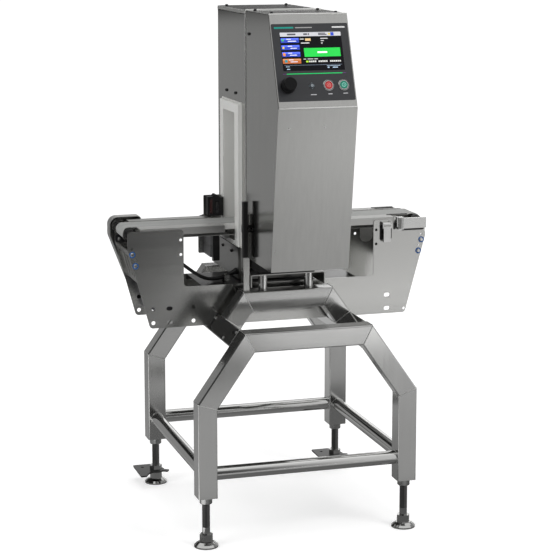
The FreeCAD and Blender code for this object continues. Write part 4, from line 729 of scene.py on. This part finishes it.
class DETECTOR_OT_lead(bpy.types.Operator):
    """The drive's lead with its two glands and the saddle clip that holds it to the deck"""
    bl_idname = "detector.lead"
    bl_label = "Lead"

    def execute(self, context):
        plastics, sizes = context.scene.detector_plastics, context.scene.detector_sizes
        route = [at(*p) for p in (
            (-0.392, -0.030, 0.755), (-0.392, -0.030, 0.800), (-0.340, -0.029, 0.842), (-0.270, -0.020, 0.786),
            (-0.235, -0.012, 0.7655), (-0.201, -0.004, 0.7595), (-0.172, 0.004, 0.7625), (-0.147, 0.0095, 0.771),
            (-0.1215, 0.0125, 0.7802))]
        curve = bpy.data.curves.new("lead", "CURVE")
        curve.dimensions = "3D"
        curve.resolution_u = 24
        spline = curve.splines.new("NURBS")
        spline.points.add(len(route) - 1)
        spline.points.foreach_set("co", np.c_[route, np.ones(len(route))].ravel())
        spline.order_u = 3
        spline.use_endpoint_u = True
        lead = bpy.data.objects.new("lead", curve)
        context.scene.collection.objects.link(lead)
        line = bpy.data.meshes.new_from_object(lead)
        path = np.empty(len(line.vertices) * 3, np.float32)
        line.vertices.foreach_get("co", path)
        bpy.data.meshes.remove(line)
        path = path.reshape(-1, 3).astype(float)
        curve.bevel_depth = sizes.lead / 2
        curve.bevel_resolution = 6
        curve.use_fill_caps = True
        rubber = moulded("lead_rubber", plastics.black, 0.42, 600.0, 0.2, 0.15)
        dress(lead, rubber, replaces=("drive_lead",))

        r = sizes.lead / 2
        gland = [(r * 1.9, 0), (r * 1.9, 0.007), (r * 1.6, 0.008), (r * 1.5, 0.014), (r * 1.18, 0.026), (r * 1.04, 0.030)]
        nylon = moulded("gland_nylon", plastics.black, 0.30, 900.0, 0.1, 0.08)
        for name, end, following in (("lead_gland_drive", path[0], path[4]), ("lead_gland_base", path[-1], path[-5])):
            piece = joined(name, [turned(gland, end, following - end)])
            dress(piece, nylon)

        k = int(np.argmin(np.abs(path[:, 0] - (stand_x - 0.160))))
        ahead = path[k + 2] - path[k - 2]
        ahead[2] = 0
        ahead /= np.linalg.norm(ahead)
        beside = np.array([-ahead[1], ahead[0], 0])
        middle = path[k]
        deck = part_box("deck_tray")[1].z
        hold, foot = r + 0.0009, 0.017
        turn = np.linspace(0, math.pi, 15)
        arch = [middle + beside * hold * math.cos(a) + np.array([0, 0, hold * math.sin(a)]) for a in turn]
        base = np.array([middle[0], middle[1], deck + 0.0008])
        outline = [base + beside * foot, base + beside * (hold + 0.003), base + beside * hold + np.array([0, 0, 0.003])]
        outline += arch
        outline += [base - beside * hold + np.array([0, 0, 0.003]), base - beside * (hold + 0.003), base - beside * foot]
        steel = brushed("clip_steel", context.scene.detector_metals.bright, 0.24, (40, 40, 40), 0.12, 0.08, 0.05)
        clip = joined("lead_clip", [strap(outline, ahead, 0.018, 0.0014)] + [
            turned([(0.0036, 0), (0.0036, 0.0014), (0.0026, 0.0026), (0.0014, 0.0026), (0.0012, 0.0012)],
                   base + beside * side * 0.0125 + np.array([0, 0, 0.0006]), (0, 0, 1), 24) for side in (-1, 1)])
        dress(clip, steel)
        return {"FINISHED"}


class DETECTOR_OT_head_steel(bpy.types.Operator):
    """Satin and brushed sheet of the head and its base, with the cover's two screws"""
    bl_idname = "detector.head_steel"
    bl_label = "Head steel"

    def execute(self, context):
        metals, plastics, sizes = (context.scene.detector_metals, context.scene.detector_plastics,
                                   context.scene.detector_sizes)
        satin = brushed("head_satin", metals.sheet, metals.side_rough, (70, 70, 3), 0.16, 0.08, 0.10)
        housing = brushed("housing_satin", metals.sheet, metals.side_rough + 0.06, (70, 70, 3), 0.18, 0.08, 0.10)
        front = brushed("cover_brushed", metals.cover, metals.sheet_rough, (85, 85, 2), 0.20, 0.10, 0.12)
        base = brushed("base_satin", metals.sheet, metals.sheet_rough, (3, 60, 60), 0.14, 0.08, 0.08)
        paint_node("head_shell", satin)
        paint_node("front_housing", housing)
        paint_node("lower_cover", front)
        paint_node("base_bracket", base)
        # The pedestal takes the darker inner tone: painted shade.
        paint_node("pedestal", brushed("pedestal_shaded_satin", metals.inner, 0.30, (60, 3, 60), 0.14, 0.08, 0.08))

        half, seam, rear, foot, lip = 0.122, -0.092, 0.232, 0.874, 0.0006
        over = head_top + lip

        def hoop_over(y):
            return [at(x, y, z) for x, z in ((-half - lip, foot), (-half - lip, over - 0.003), (-half + 0.002, over),
                                             (half - 0.002, over), (half + lip, over - 0.003), (half + lip, foot))]

        def hoop_round(z):
            return [at(x, y, z) for x, y in ((-half - lip, seam + 0.002), (-half - lip, rear - 0.003), (-half + 0.002, rear + lip),
                                             (half - 0.002, rear + lip), (half + lip, rear - 0.003), (half + lip, seam + 0.002))]

        # The hem bead, the lid flange and the bend beads take the pale edge tone: a painted highlight.
        hem = brushed("hem_highlight_satin", metals.edge, 0.46, (60, 60, 3), 0.08, 0.06, 0.04)
        # Thin black strips at the seams: painted shadow in the gap between the sheets and under the lid's flange.
        line = moulded("seam_shadow", plastics.black, 0.5, 900.0, 0.1, 0.0)
        dress(joined("housing_hem", [bead(hoop_over(seam - 0.0030), (0, 1, 0), 0.0022, closed=False, sides=16)]), hem)
        dress(joined("lid_flange", [strap(hoop_round(head_top - 0.006), (0, 0, 1), 0.010, 0.0014)]), hem)
        seam_shadow_strips = [strap(hoop_over(seam + 0.0002), (0, 1, 0), 0.0022, 0.0008),
                      strap(hoop_round(head_top - 0.0125), (0, 0, 1), 0.0018, 0.0008)]
        dress(joined("seam_shadow_lines", seam_shadow_strips), line)
        bends = []
        for y, z in ((-0.3392, head_top - 0.0012), (-0.4418, head_top - 0.2700)):
            path = [at(x, y, z) for x in np.linspace(-0.1205, 0.1205, 5)]
            bends.append(bead(path, (0, 0, 1), 0.0026, closed=False, sides=16))
        dress(joined("sheet_bends", bends), hem)

        r = sizes.head_screw
        cap = [(r, 0), (r, 0.0022), (r * 0.86, 0.0040), (r * 0.60, 0.0048), (r * 0.46, 0.0048), (r * 0.40, 0.0022),
               (r * 0.02, 0.0020)]
        low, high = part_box("aperture_frames")[1].z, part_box("pedestal")[1].z
        top_x = (-0.1, 0.1)
        caps = [turned(cap, at(x, y, head_top), (0, 0, 1), 28) for x in top_x for y in (seam - 0.033, face_edge_y + 0.040)]
        for side in (-1, 1):
            for y, z in ((seam - 0.044, head_top - 0.070), (0.019, low + 0.025), (0.125, low + 0.025),
                         (0.075, high - 0.021), (0.181, high - 0.021)):
                caps.append(turned(cap, at(side * half, y, z), (side, 0, 0), 28))
        black = moulded("screw_black", plastics.black, 0.28, 900.0, 0.1, 0.05)
        dress(joined("head_screw_caps", caps), black, replaces=("head_screws",))
        behind = [turned(cap, at(x, rear - 0.030, head_top), (0, 0, 1), 28) for x in top_x]
        dress(joined("rear_lid_screws", behind), black)
        bright = turned_metal("cover_screw_steel", metals.bright, 0.24, 1)
        r = sizes.cover_screw
        outward = (0, -0.988, -0.155)
        screws = [turned([(r, -0.001), (r, 0.0004), (r * 0.8, 0.0011), (r * 0.3, 0.0013)], at(x, y, z), outward, 28)
                  for x, y, z in ((-0.0865, -0.4335, 1.2826), (0.0244, -0.4334, 1.2820))]
        dress(joined("cover_screws", screws), bright)
        return {"FINISHED"}


class DETECTOR_OT_stand_steel(bpy.types.Operator):
    """Polished square and round tube of the stand, its feet and anchor plates"""
    bl_idname = "detector.stand_steel"
    bl_label = "Stand steel"

    def execute(self, context):
        metals = context.scene.detector_metals
        posts = brushed("tube_upright", metals.tube, metals.tube_rough, (55, 55, 5), 0.14, 0.10, 0.05)
        # The level bars are the posts' polished tube darkened to 0.8: painted shade.
        shaded_bars = brushed("tube_level_shaded", tuple(c * 0.80 for c in metals.tube), metals.tube_rough, (4, 70, 70), 0.22, 0.10, 0.06)
        sides = brushed("tube_side", metals.tube, metals.tube_rough - 0.06, (60, 4, 60), 0.14, 0.08, 0.04)
        round_tube = brushed("tube_round", metals.bright, 0.10, (6, 40, 40), 0.10, 0.06, 0.03)
        for node in ("front_legs", "rear_legs", "upper_legs"):
            paint_node(node, posts)
        for node in ("arch_bars", "upper_bars"):
            paint_node(node, shaded_bars)
        paint_node("side_members", sides)
        paint_node("stretchers", round_tube)
        bright = turned_metal("turned_bright", metals.bright, 0.16, 2)
        for node in ("base_posts", "base_bolts"):
            paint_node(node, bright)
        paint_node("leg_bosses", turned_metal("boss_steel", tuple(c * 0.7 for c in metals.bright), 0.2, 2))
        feet = foot_metal("foot_steel", tuple(c * 0.75 for c in metals.bright), tuple(c * 0.24 for c in metals.bright), 0.062)
        for node in ("foot_front_left", "foot_front_right", "foot_rear_left", "foot_rear_right"):
            paint_node(node, feet)
        dark = brushed("anchor_dark", metals.dark, 0.38, (40, 40, 40), 0.2, 0.1, 0.05)
        for node in ("anchor_plate_left", "anchor_plate_right"):
            paint_node(node, dark)
        return {"FINISHED"}


class DETECTOR_OT_stand_details(bpy.types.Operator):
    """Ground weld beads round the tube joints and the screws in the side members"""
    bl_idname = "detector.stand_details"
    bl_label = "Welds and screws"

    def execute(self, context):
        metals, sizes = context.scene.detector_metals, context.scene.detector_sizes
        corner = 0.004

        def frame_bead(corners):
            loop = rounded_loop([at(*c) for c in corners], corner)
            across = np.cross(loop[6] - loop[0], loop[11] - loop[0])
            return bead(loop, across / np.linalg.norm(across), sizes.weld)

        mitre = (bar_half, arch_top), (bar_half - mitre_in, arch_top - tube)
        bend = (half_length, bend_height), (half_length - tube, bend_height - bend_in)
        upper = (upper_half, upper_top), (upper_half - mitre_in, upper_top - tube)
        down, in_ = tube * math.cos(slope), tube * math.sin(slope)
        seat = (bar_half, arch_top), (bar_half - in_, arch_top - down)
        level = (bar_half, arch_top), (bar_half - tube / math.sin(slope), arch_top)
        shells = []
        for side in (-1, 1):
            for y in arch_y:
                for (x0, z0), (x1, z1) in (mitre, bend):
                    shells.append(frame_bead([(side * x0, y, z0), (side * x0, y + tube, z0),
                                              (side * x1, y + tube, z1), (side * x1, y, z1)]))
            for y, joint in zip(upper_y, (seat, level)):
                for (x0, z0), (x1, z1) in (upper, joint):
                    shells.append(frame_bead([(side * x0, y, z0), (side * x0, y + tube, z0),
                                              (side * x1, y + tube, z1), (side * x1, y, z1)]))
            for y in (arch_y[0] + tube, arch_y[1]):
                s, c = math.sin(slope) * tube, math.cos(slope) * tube
                x, z = bar_half, arch_top
                shells.append(frame_bead([(side * x, y, z), (side * (x - s), y, z - c),
                                          (side * (x - s + c), y, z - c - s), (side * (x + c), y, z - s)]))
        leg = half_length - tube / 2
        for side in (-1, 1):
            t = np.linspace(0, 2 * math.pi, 40, endpoint=False)
            wide = stretcher_r + sizes.weld * 0.3
            for y in (arch_y[0] + tube / 2, arch_y[1] + tube / 2):
                x = side * (leg - tube / 2)
                ring = np.stack([np.full(40, x), y + wide * np.cos(t), stretcher_height + wide * np.sin(t)], -1) + at(0, 0, 0)
                shells.append(bead(ring, (1, 0, 0), sizes.weld))
            for y in (arch_y[0] + tube, arch_y[1]):
                x = side * leg
                ring = np.stack([x + wide * np.cos(t), np.full(40, y), stretcher_height + wide * np.sin(t)], -1) + at(0, 0, 0)
                shells.append(bead(ring, (0, 1, 0), sizes.weld))
        weld = brushed("weld_bright", tuple(min(c * 1.25, 1) for c in metals.bright), 0.30, (300, 300, 300), 0.3, 0.1, 0.2)
        dress(joined("welds", shells), weld)

        r = sizes.side_screw
        profile = [(r, -0.001), (r, 0.0012), (r * 0.85, 0.0022), (r * 0.5, 0.0025), (r * 0.45, 0.0012), (0.0001, 0.0012)]
        lean = (-math.sin(slope), 0, math.cos(slope))
        bottom = np.array([-(bar_half + tube * math.cos(slope)), 0, arch_top - tube * math.sin(slope)])
        screws = []
        for x, y, z in ((-0.2127, -0.065, 0.6481), (-0.2318, -0.2203, 0.6208), (-0.2107, -0.292, 0.651),
                        (-0.2686, -0.3292, 0.5683)):
            place = at(x, y, z)
            gap = float(np.dot(place - at(-bar_half, 0, arch_top), np.array([-math.sin(slope), 0, math.cos(slope)])))
            screws.append(turned(profile, place - gap * np.array(lean), lean, 28))
        steel = turned_metal("member_screw_steel", tuple(c * 0.7 for c in metals.bright), 0.28, 0)
        dress(joined("member_screws", screws), steel)
        return {"FINISHED"}


class DETECTOR_OT_conveyor(bpy.types.Operator):
    """Plates, beds, belt, rollers and drive of the conveyor"""
    bl_idname = "detector.conveyor"
    bl_label = "Conveyor"

    def execute(self, context):
        metals, plastics = context.scene.detector_metals, context.scene.detector_plastics
        plate = brushed("plate_satin", metals.plate, metals.plate_rough, (3, 60, 60), 0.10, 0.08, 0.05)
        pale = tuple(min(c * 1.1, 1) for c in metals.plate)
        bed = brushed("bed_satin", pale, 0.40, (2, 80, 80), 0.12, 0.08, 0.06)
        for node in ("front_plate", "rear_plate", "rear_sensor_bracket", "front_sensor_post"):
            paint_node(node, plate)
        # The saddles take the darker inner tone and the deck the dark tone: painted shade under the conveyor.
        inner = brushed("inner_shaded_satin", metals.inner, 0.30, (3, 60, 60), 0.12, 0.08, 0.06)
        paint_node("saddle_blocks", inner)
        paint_node("deck_tray", brushed("deck_shaded_satin", metals.dark, 0.24, (3, 60, 60), 0.12, 0.08, 0.06))
        paint_node("bed_sides", bed)
        cross = brushed("cross_satin", tuple(c * 0.8 for c in metals.plate), 0.42, (60, 3, 60), 0.12, 0.08, 0.06)
        paint_node("cross_members", cross)
        paint_node("drive_guard", brushed("guard_satin", pale, 0.52, (60, 3, 60), 0.12, 0.08, 0.06))
        bright = brushed("latch_bright", metals.bright, 0.18, (30, 30, 30), 0.12, 0.08, 0.05)
        for node in ("latch_bases", "side_latch_lever", "end_latch_lever"):
            paint_node(node, bright)
        along = turned_metal("roller_bright", metals.bright, 0.2, 1)
        for node in ("drive_roller", "tail_roller", "motor_pulley", "tension_bolts"):
            paint_node(node, along)
        paint_node("tunnel_bed", moulded("bed_plastic", plastics.frame_grey, 0.4))
        paint_node("belt", belt_material(plastics.belt_grey))
        rubber = moulded("black_rubber", plastics.black, 0.55, 700.0, 0.2)
        for node in ("timing_belt", "roller_bearings", "isolators"):
            paint_node(node, rubber)
        paint_node("drive_motor", moulded("motor_paint", (0.07, 0.07, 0.075), 0.42, 500.0, 0.2, 0.15))
        paint_node("search_coils", moulded("coil_resin", (0.25, 0.13, 0.05), 0.4))
        paint_node("chassis_plate", brushed("chassis", (0.6, 0.6, 0.62), 0.35, (40, 40, 40)))
        return {"FINISHED"}


class DETECTOR_OT_conveyor_details(bpy.types.Operator):
    """Blue sealing washers, bearing caps, stop tab, and black strips of painted shade for the slots of the right bed
    and the gaps round the latches
    """
    bl_idname = "detector.conveyor_details"
    bl_label = "Conveyor details"

    def execute(self, context):
        metals, plastics, sizes = (context.scene.detector_metals, context.scene.detector_plastics,
                                   context.scene.detector_sizes)
        r = sizes.washer
        profile = [(0.0064, -0.0002), (r, -0.0002), (r, 0.0009), (r - 0.0004, 0.0013), (0.0064, 0.0013)]
        foot, shoulder, low, high, inset = 0.423, 0.491, 0.625, 0.875, 0.010
        washers = []
        for z in (0.862, 0.826):
            x = foot + (z - low) * (shoulder - foot) / (high - low) - inset
            for side in (-1, 1):
                washers.append(hoop(profile, at(side * x, plates_front_y, z), (0, -1, 0)))
                washers.append(hoop(profile, at(side * x, plates_rear_y, z), (0, 1, 0)))
        blue = moulded("washer_blue", plastics.washer_blue, 0.34, 700.0, 0.1, 0.05)
        dress(joined("sealing_washers", washers), blue)

        def facing(y, across=1):
            """Points on an upright plane at y, looking out to -Y: a along X, b up, n outwards."""
            def place(a, b, n):
                a, b, n = np.broadcast_arrays(np.asarray(a, float), b, n)
                return np.stack([stand_x + a, stand_y + y - n, b], -1)
            return place

        def lying(a, b, n):
            """Points on the top of the bed: a along X, b along Y, n up."""
            a, b, n = np.broadcast_arrays(np.asarray(a, float), b, n)
            return np.stack([stand_x + a, stand_y + b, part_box("bed_sides")[1].z + n], -1)

        black = moulded("tab_black", plastics.black, 0.36, 900.0, 0.1, 0.08)
        tab = slab(facing(0.146), (-0.463, 0.881), 0.050, 0.026, 0.0, 0.006, 0.006, 0.001)
        dress(joined("end_tab", [tab]), black)
        pale_screw = turned([(0.0048, 0), (0.0048, 0.0016), (0.0036, 0.0030), (0.0001, 0.0032)],
                            at(-0.4764, 0.140, 0.8788), (0, -1, 0), 28)
        steel = turned_metal("tab_screw_steel", metals.bright, 0.2, 1)
        dress(joined("end_tab_screw", [pale_screw]), steel)

        # Black strips on the right bed stand for its slots: painted shade in the openings.
        slot_shades = [slab(lying, (0.4135, 0.137), 0.073, 0.016, 0.0, 0.0014, 0.002, 0.0004),
                  slab(lying, (0.4120, -0.0082), 0.072, 0.0075, 0.0, 0.0014, 0.002, 0.0004)]
        dress(joined("bed_slot_shades", slot_shades), black)
        front = facing(plates_front_y)
        # Black strips on the front plate and its nose: painted shadow in the gaps round the latches.
        shadow_strips = [slab(front, (0.3385, 0.892), 0.0080, 0.048, 0.0, 0.0010, 0.002, 0.0003),
                slab(front, (0.3725, 0.890), 0.0060, 0.040, 0.0, 0.0010, 0.002, 0.0003)]
        nose = facing(plates_front_y + 0.003)
        shadow_strips += [slab(nose, (0.4490, 0.8985), 0.0760, 0.0085, 0.0, 0.0020, 0.003, 0.0004),
                 slab(front, (0.3850, 0.9100), 0.0080, 0.0200, 0.0, 0.0010, 0.002, 0.0003)]
        dress(joined("latch_shadow_strips", shadow_strips), black)

        lip = [slab(facing(0.1475), (0.3070, 0.8425), 0.024, 0.181, -0.0013, 0.0013, 0.002, 0.0003)]
        dress(joined("rear_plate_lip", lip), brushed("lip_satin", metals.plate, metals.plate_rough, (3, 60, 60), 0.10, 0.08, 0.05))

        reach, height = 0.4747, 0.9187
        for name, side, body in (("tail_collar", 1, "tail_roller_body"), ("drive_collar", -1, "drive_roller_body")):
            ring = hoop([(0.0062, 0.0), (0.0180, 0.0), (0.0180, 0.0150), (0.0160, 0.0180), (0.0105, 0.0180), (0.0100, 0.0150),
                         (0.0062, 0.0150)], at(side * reach, -0.0035, height), (0, -1, 0), 40)
            dress(joined(name, [ring]), black, body)
            hub = hoop([(0.0061, 0.0151), (0.0098, 0.0151), (0.0098, 0.0205), (0.0088, 0.0215), (0.0061, 0.0215)],
                       at(side * reach, -0.0035, height), (0, -1, 0), 32)
            dress(joined(name + "_hub", [hub]), steel, body)
        return {"FINISHED"}


class DETECTOR_OT_display(bpy.types.Operator):
    """Membrane panel with its generic page, keys, rings and marks"""
    bl_idname = "detector.display"
    bl_label = "Display"

    def execute(self, context):
        metals, plastics, sizes = (context.scene.detector_metals, context.scene.detector_plastics,
                                   context.scene.detector_sizes)
        paint_node("display_overlay", moulded("panel_film", plastics.panel, 0.42, 1600.0, 0.10, 0.08))
        glass = moulded("screen_glass", plastics.screen, 0.22, 200.0, 0.02, 0.0)
        glass.node_tree.nodes["Principled BSDF"].inputs["IOR"].default_value = 1.25
        paint_node("lcd_screen", glass)
        paint_node("home_key", moulded("home_key", (0.05, 0.06, 0.07), 0.3))
        paint_node("stop_key", moulded("stop_key", plastics.stop_red, 0.3, coat=0.3))
        paint_node("start_key", moulded("start_key", plastics.start_green, 0.3, coat=0.3))
        paint_node("key_rings", brushed("ring_bright", metals.bright, 0.22, (30, 30, 30)))

        page = (0.0009, 0.00115)
        top = (0.0010, 0.00130)
        ink = (0.0011, 0.00135)
        blocks = [
            ("page_bar", (0.60, 0.60, 0.64), 0.30, [(-94, 94, 57.5, 70)], page),
            ("page_bar_marks", (0.10, 0.10, 0.12), 0.10, [(-72, -46, 61, 66), (-22, -10, 61, 66), (-8, -4, 61, 66),
                                                         (24, 46, 60, 63), (24, 50, 64, 67)], top),
            ("page_bar_dots", plastics.page_blue, 0.9, [(62, 72, 59, 69)], top),
            ("page_bar_flag", (0.55, 0.42, 0.02), 0.8, [(55, 61, 61.5, 66.5)], top),
            ("page_keys", plastics.page_blue, 0.62, [(-93.5, -37.3, 74.6, 89), (-93.5, -37.3, 96, 110.5),
                                                     (-93.5, -37.3, 117, 131.5)], page),
            ("page_keys_shine", tuple(min(c * 2.2 + 0.05, 1) for c in plastics.page_blue), 0.6,
             [(-92.5, -38.3, 75.4, 80), (-92.5, -38.3, 96.8, 101.4), (-92.5, -38.3, 117.8, 122.4)], top),
            ("page_key_low", plastics.page_orange, 0.75, [(-93.5, -37.3, 137.5, 152.5)], page),
            ("page_key_low_shine", (0.55, 0.24, 0.10), 0.7, [(-92.5, -38.3, 138.3, 143)], top),
            ("page_key_marks", (0.72, 0.74, 0.85), 0.5,
             [(-76, -62, 77, 79.4), (-72, -46, 83, 85.6), (-74, -60, 98.4, 100.8), (-66, -46, 104.6, 107),
              (-74, -62, 119.6, 122), (-70, -48, 125.6, 128), (-74, -60, 140, 142.4), (-70, -48, 146, 148.4)], ink),
            ("page_signs_green", (0.05, 0.42, 0.10), 0.6, [(-90.5, -84, 77.5, 84)], ink),
            ("page_signs_yellow", (0.72, 0.55, 0.02), 0.6, [(-90, -84.5, 101, 107.5)], ink),
            ("page_signs_orange", (0.75, 0.25, 0.03), 0.6, [(-90.5, -83, 120, 129)], ink),
            ("page_signs_teal", (0.02, 0.25, 0.30), 0.6, [(-87, -79, 141, 149)], ink),
            ("page_lines", (0.60, 0.60, 0.60), 0.5,
             [(-34, -22, 77, 79.6), (-32, -6, 89, 92), (29, 52, 76, 78.6), (30, 40, 83, 85.4), (30, 35, 90, 93)], page),
            ("page_count", (0.62, 0.42, 0.20), 0.7, [(-18, -1, 76.5, 84)], page),
            ("page_result", plastics.pass_green, 0.80, [(-25, 87, 106, 133)], page),
            ("page_result_mark", (0.85, 0.88, 0.85), 0.70, [(16, 46, 117, 122)], top),
            ("page_row", (0.55, 0.55, 0.55), 0.5, [(-29, -21, 138.2, 140.6), (-17, 1, 138.2, 140.6), (4, 15, 138.2, 140.6)], page),
            ("page_level_low", (0.36, 0.62, 0.02), 0.9, [(-22, -15, 144.4, 149.6)], page),
            ("page_level", (0.62, 0.62, 0.60), 0.6,
             [(x, x + 4.6, 144.6, 149.4) for x in (-13, -7.2, -1.4, 4.4, 16, 21.8, 27.6, 33.4, 39.2, 52, 57.8, 63.6, 69.4, 75.2, 81)], page),
            ("page_rule", (0.16, 0.20, 0.26), 0.5, [(-90, 88, 157.2, 158.2)], page),
            ("page_foot", (0.36, 0.48, 0.60), 0.5, [(-86, -74, 161, 163), (-83, -74, 168, 171), (40, 82, 160.4, 161.8),
                                                    (42, 48, 164, 168), (58, 74, 164.6, 168)], page),
        ]
        for name, colour, glow, rows, depth in blocks:
            dress(tiles(name, rows, depth), lit(name, colour, glow * 0.75))

        line = [(-86, 86, 184 - sizes.line * 500, 184 + sizes.line * 500)]
        dress(tiles("status_line", line, (0.0011, 0.0014), 0.001), lit("status_line", (0.0, 0.42, 0.09), 0.8))
        ends = [(-97, -86, 183.2, 184.8), (86, 97, 183.2, 184.8)]
        dress(tiles("status_line_ends", ends, (0.0011, 0.0014), 0.0007), lit("status_line_ends", (0.10, 0.03, 0.14), 0.5))
        film = (0.0011, 0.0012 + sizes.print_depth)
        prints = [
            ("panel_bar_teal", (0.0, 0.30, 0.24), [(-110, -51, 40.5, 45.5)]),
            ("panel_bar_grey", (0.40, 0.40, 0.40), [(-45, 7, 41.8, 44.6)]),
            ("panel_bar_pale", (0.70, 0.70, 0.70), [(69, 109, 41.0, 45.6)]),
            ("key_captions", (0.55, 0.55, 0.57), [(-19, -1, 247, 249.4), (35, 48, 246, 248.4), (82, 95.5, 245, 247.4)]),
        ]
        for name, colour, rows in prints:
            dress(tiles(name, rows, film), moulded(name, colour, 0.4, 900.0, 0.05, 0.02))

        down = on_face(0, -1, 0) - on_face(0, 0, 0)
        outward = on_face(0, 0, 1) - on_face(0, 0, 0)
        dark = moulded("key_hoop", (0.02, 0.02, 0.022), 0.3)
        hoops = [hoop([(0.0141, 0.0036), (0.0156, 0.0036), (0.0156, 0.0041), (0.0141, 0.0041)],
                      on_face(x, -0.221, 0.0), outward) for x in (0.0385, 0.0855)]
        dress(joined("key_hoops", hoops), dark)

        def flat_ring(x, r0, r1):
            return hoop([(r0, 0.0044), (r1, 0.0044), (r1, 0.0049), (r0, 0.0049)], on_face(x, -0.221, 0.0), outward, 32)

        def flat_bar(x, width, height):
            return slab(on_face, (x, -0.221), width, height, 0.0044, 0.00495, 0.0004, 0.0001)

        marks = (
            ("stop_mark", "stop_key_body", (0.80, 0.30, 0.28), [flat_ring(0.0385, 0.0052, 0.0064), flat_bar(0.0385, 0.0036, 0.0036)]),
            ("start_mark", "start_key_body", (0.35, 0.78, 0.68), [flat_ring(0.0855, 0.0052, 0.0064), flat_bar(0.0855, 0.0012, 0.0058)]),
            ("home_mark", "home_key_body", (0.50, 0.56, 0.60), [flat_ring(-0.0125, 0.0026, 0.0036), flat_bar(-0.0125, 0.0016, 0.0016)]),
        )
        for name, body, colour, shells in marks:
            dress(joined(name, shells), moulded(name, colour, 0.4), body)
        corners = np.array([(0, 1), (1, 0), (0, -1), (-1, 0)]) * 0.0092
        loop = [on_face(-0.0125 + a, -0.221 + b, 0.0013) for a, b in corners]
        diamond = bead(rounded_loop(loop, 0.002), outward, 0.0004)
        dress(joined("home_outline", [diamond]), moulded("home_outline", (0.30, 0.38, 0.42), 0.4))
        return {"FINISHED"}


class DETECTOR_OT_plastics(bpy.types.Operator):
    """Aperture frames, tunnel, dial, black mouldings, amplifier and the sensors with their windows"""
    bl_idname = "detector.plastics"
    bl_label = "Plastics"

    def execute(self, context):
        plastics = context.scene.detector_plastics
        pale = moulded("frame_grey", plastics.frame_grey, 0.34, 700.0, 0.05, 0.06)
        for node in ("aperture_frames", "aperture_liner"):
            paint_node(node, pale)
        black = moulded("black_moulding", plastics.black, 0.36, 900.0, 0.2, 0.12)
        for node in ("front_light_bar", "clamp_knob", "rear_sensor"):
            paint_node(node, black)
        knob = moulded("dial_black", tuple(c * 0.5 for c in plastics.black), 0.30, 900.0, 0.1, 0.04)
        knob.node_tree.nodes["Principled BSDF"].inputs["IOR"].default_value = 1.3
        paint_node("dial", knob)
        paint_node("sensor_amplifier", moulded("amplifier_case", plastics.case_grey, 0.4))

        def facing(y):
            def place(a, b, n):
                a, b, n = np.broadcast_arrays(np.asarray(a, float), b, n)
                return np.stack([stand_x + a, np.full(a.shape, stand_y + y) - n, b], -1)
            return place

        low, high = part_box("rear_sensor")
        front = low.y - stand_y
        left = low.x - stand_x
        window = [slab(facing(front + 0.002), (left + 0.012, 0.9735), 0.009, 0.046, 0.0, 0.0008, 0.001, 0.0002)]
        dress(joined("sensor_window", window), moulded("window_red", (0.035, 0.002, 0.003), 0.12, 300.0, 0.1, 0.02, 0.3))
        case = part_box("sensor_amplifier")
        strip = [slab(facing(case[0].y - stand_y), (-0.1775, 0.8515), 0.021, 0.089, 0.0, 0.004, 0.003, 0.0006)]
        dress(joined("amplifier_front", strip), black)
        lens = [slab(facing(front + 0.0015), (left + 0.032, 0.9685), 0.011, 0.036, 0.0, 0.0007, 0.001, 0.0002)]
        dress(joined("sensor_lens", lens), moulded("lens_dark", (0.01, 0.01, 0.012), 0.08, 300.0, 0.1, 0.0, 0.6))
        return {"FINISHED"}


class DETECTOR_PT_sidebar(bpy.types.Panel):
    """Lists the detector's operators with their tones and sizes"""
    bl_idname = "DETECTOR_PT_sidebar"
    bl_label = "Metal detector"
    bl_space_type = "VIEW_3D"
    bl_region_type = "UI"
    bl_category = "Detector"

    def draw(self, context):
        for operator in operators:
            self.layout.operator(operator.bl_idname)
        for group in (context.scene.detector_metals, context.scene.detector_plastics, context.scene.detector_sizes):
            box = self.layout.box()
            for label in group.__annotations__:
                box.prop(group, label)


operators = (DETECTOR_OT_stage, DETECTOR_OT_lead, DETECTOR_OT_head_steel, DETECTOR_OT_stand_steel,
             DETECTOR_OT_stand_details, DETECTOR_OT_conveyor, DETECTOR_OT_conveyor_details, DETECTOR_OT_display,
             DETECTOR_OT_plastics)
classes = (DetectorMetals, DetectorPlastics, DetectorSizes, *operators, DETECTOR_PT_sidebar)


def register():
    for kind in classes:
        bpy.utils.register_class(kind)
    bpy.types.Scene.detector_metals = PointerProperty(type=DetectorMetals)
    bpy.types.Scene.detector_plastics = PointerProperty(type=DetectorPlastics)
    bpy.types.Scene.detector_sizes = PointerProperty(type=DetectorSizes)


def unregister():
    del bpy.types.Scene.detector_sizes
    del bpy.types.Scene.detector_plastics
    del bpy.types.Scene.detector_metals
    for kind in reversed(classes):
        bpy.utils.unregister_class(kind)


def main():
    register()
    bpy.ops.detector.stage()
    bpy.ops.detector.lead()
    bpy.ops.detector.head_steel()
    bpy.ops.detector.stand_steel()
    bpy.ops.detector.stand_details()
    bpy.ops.detector.conveyor()
    bpy.ops.detector.conveyor_details()
    bpy.ops.detector.display()
    bpy.ops.detector.plastics()
    bpy.context.view_layer.update()


if __name__ == "__main__":
    main()
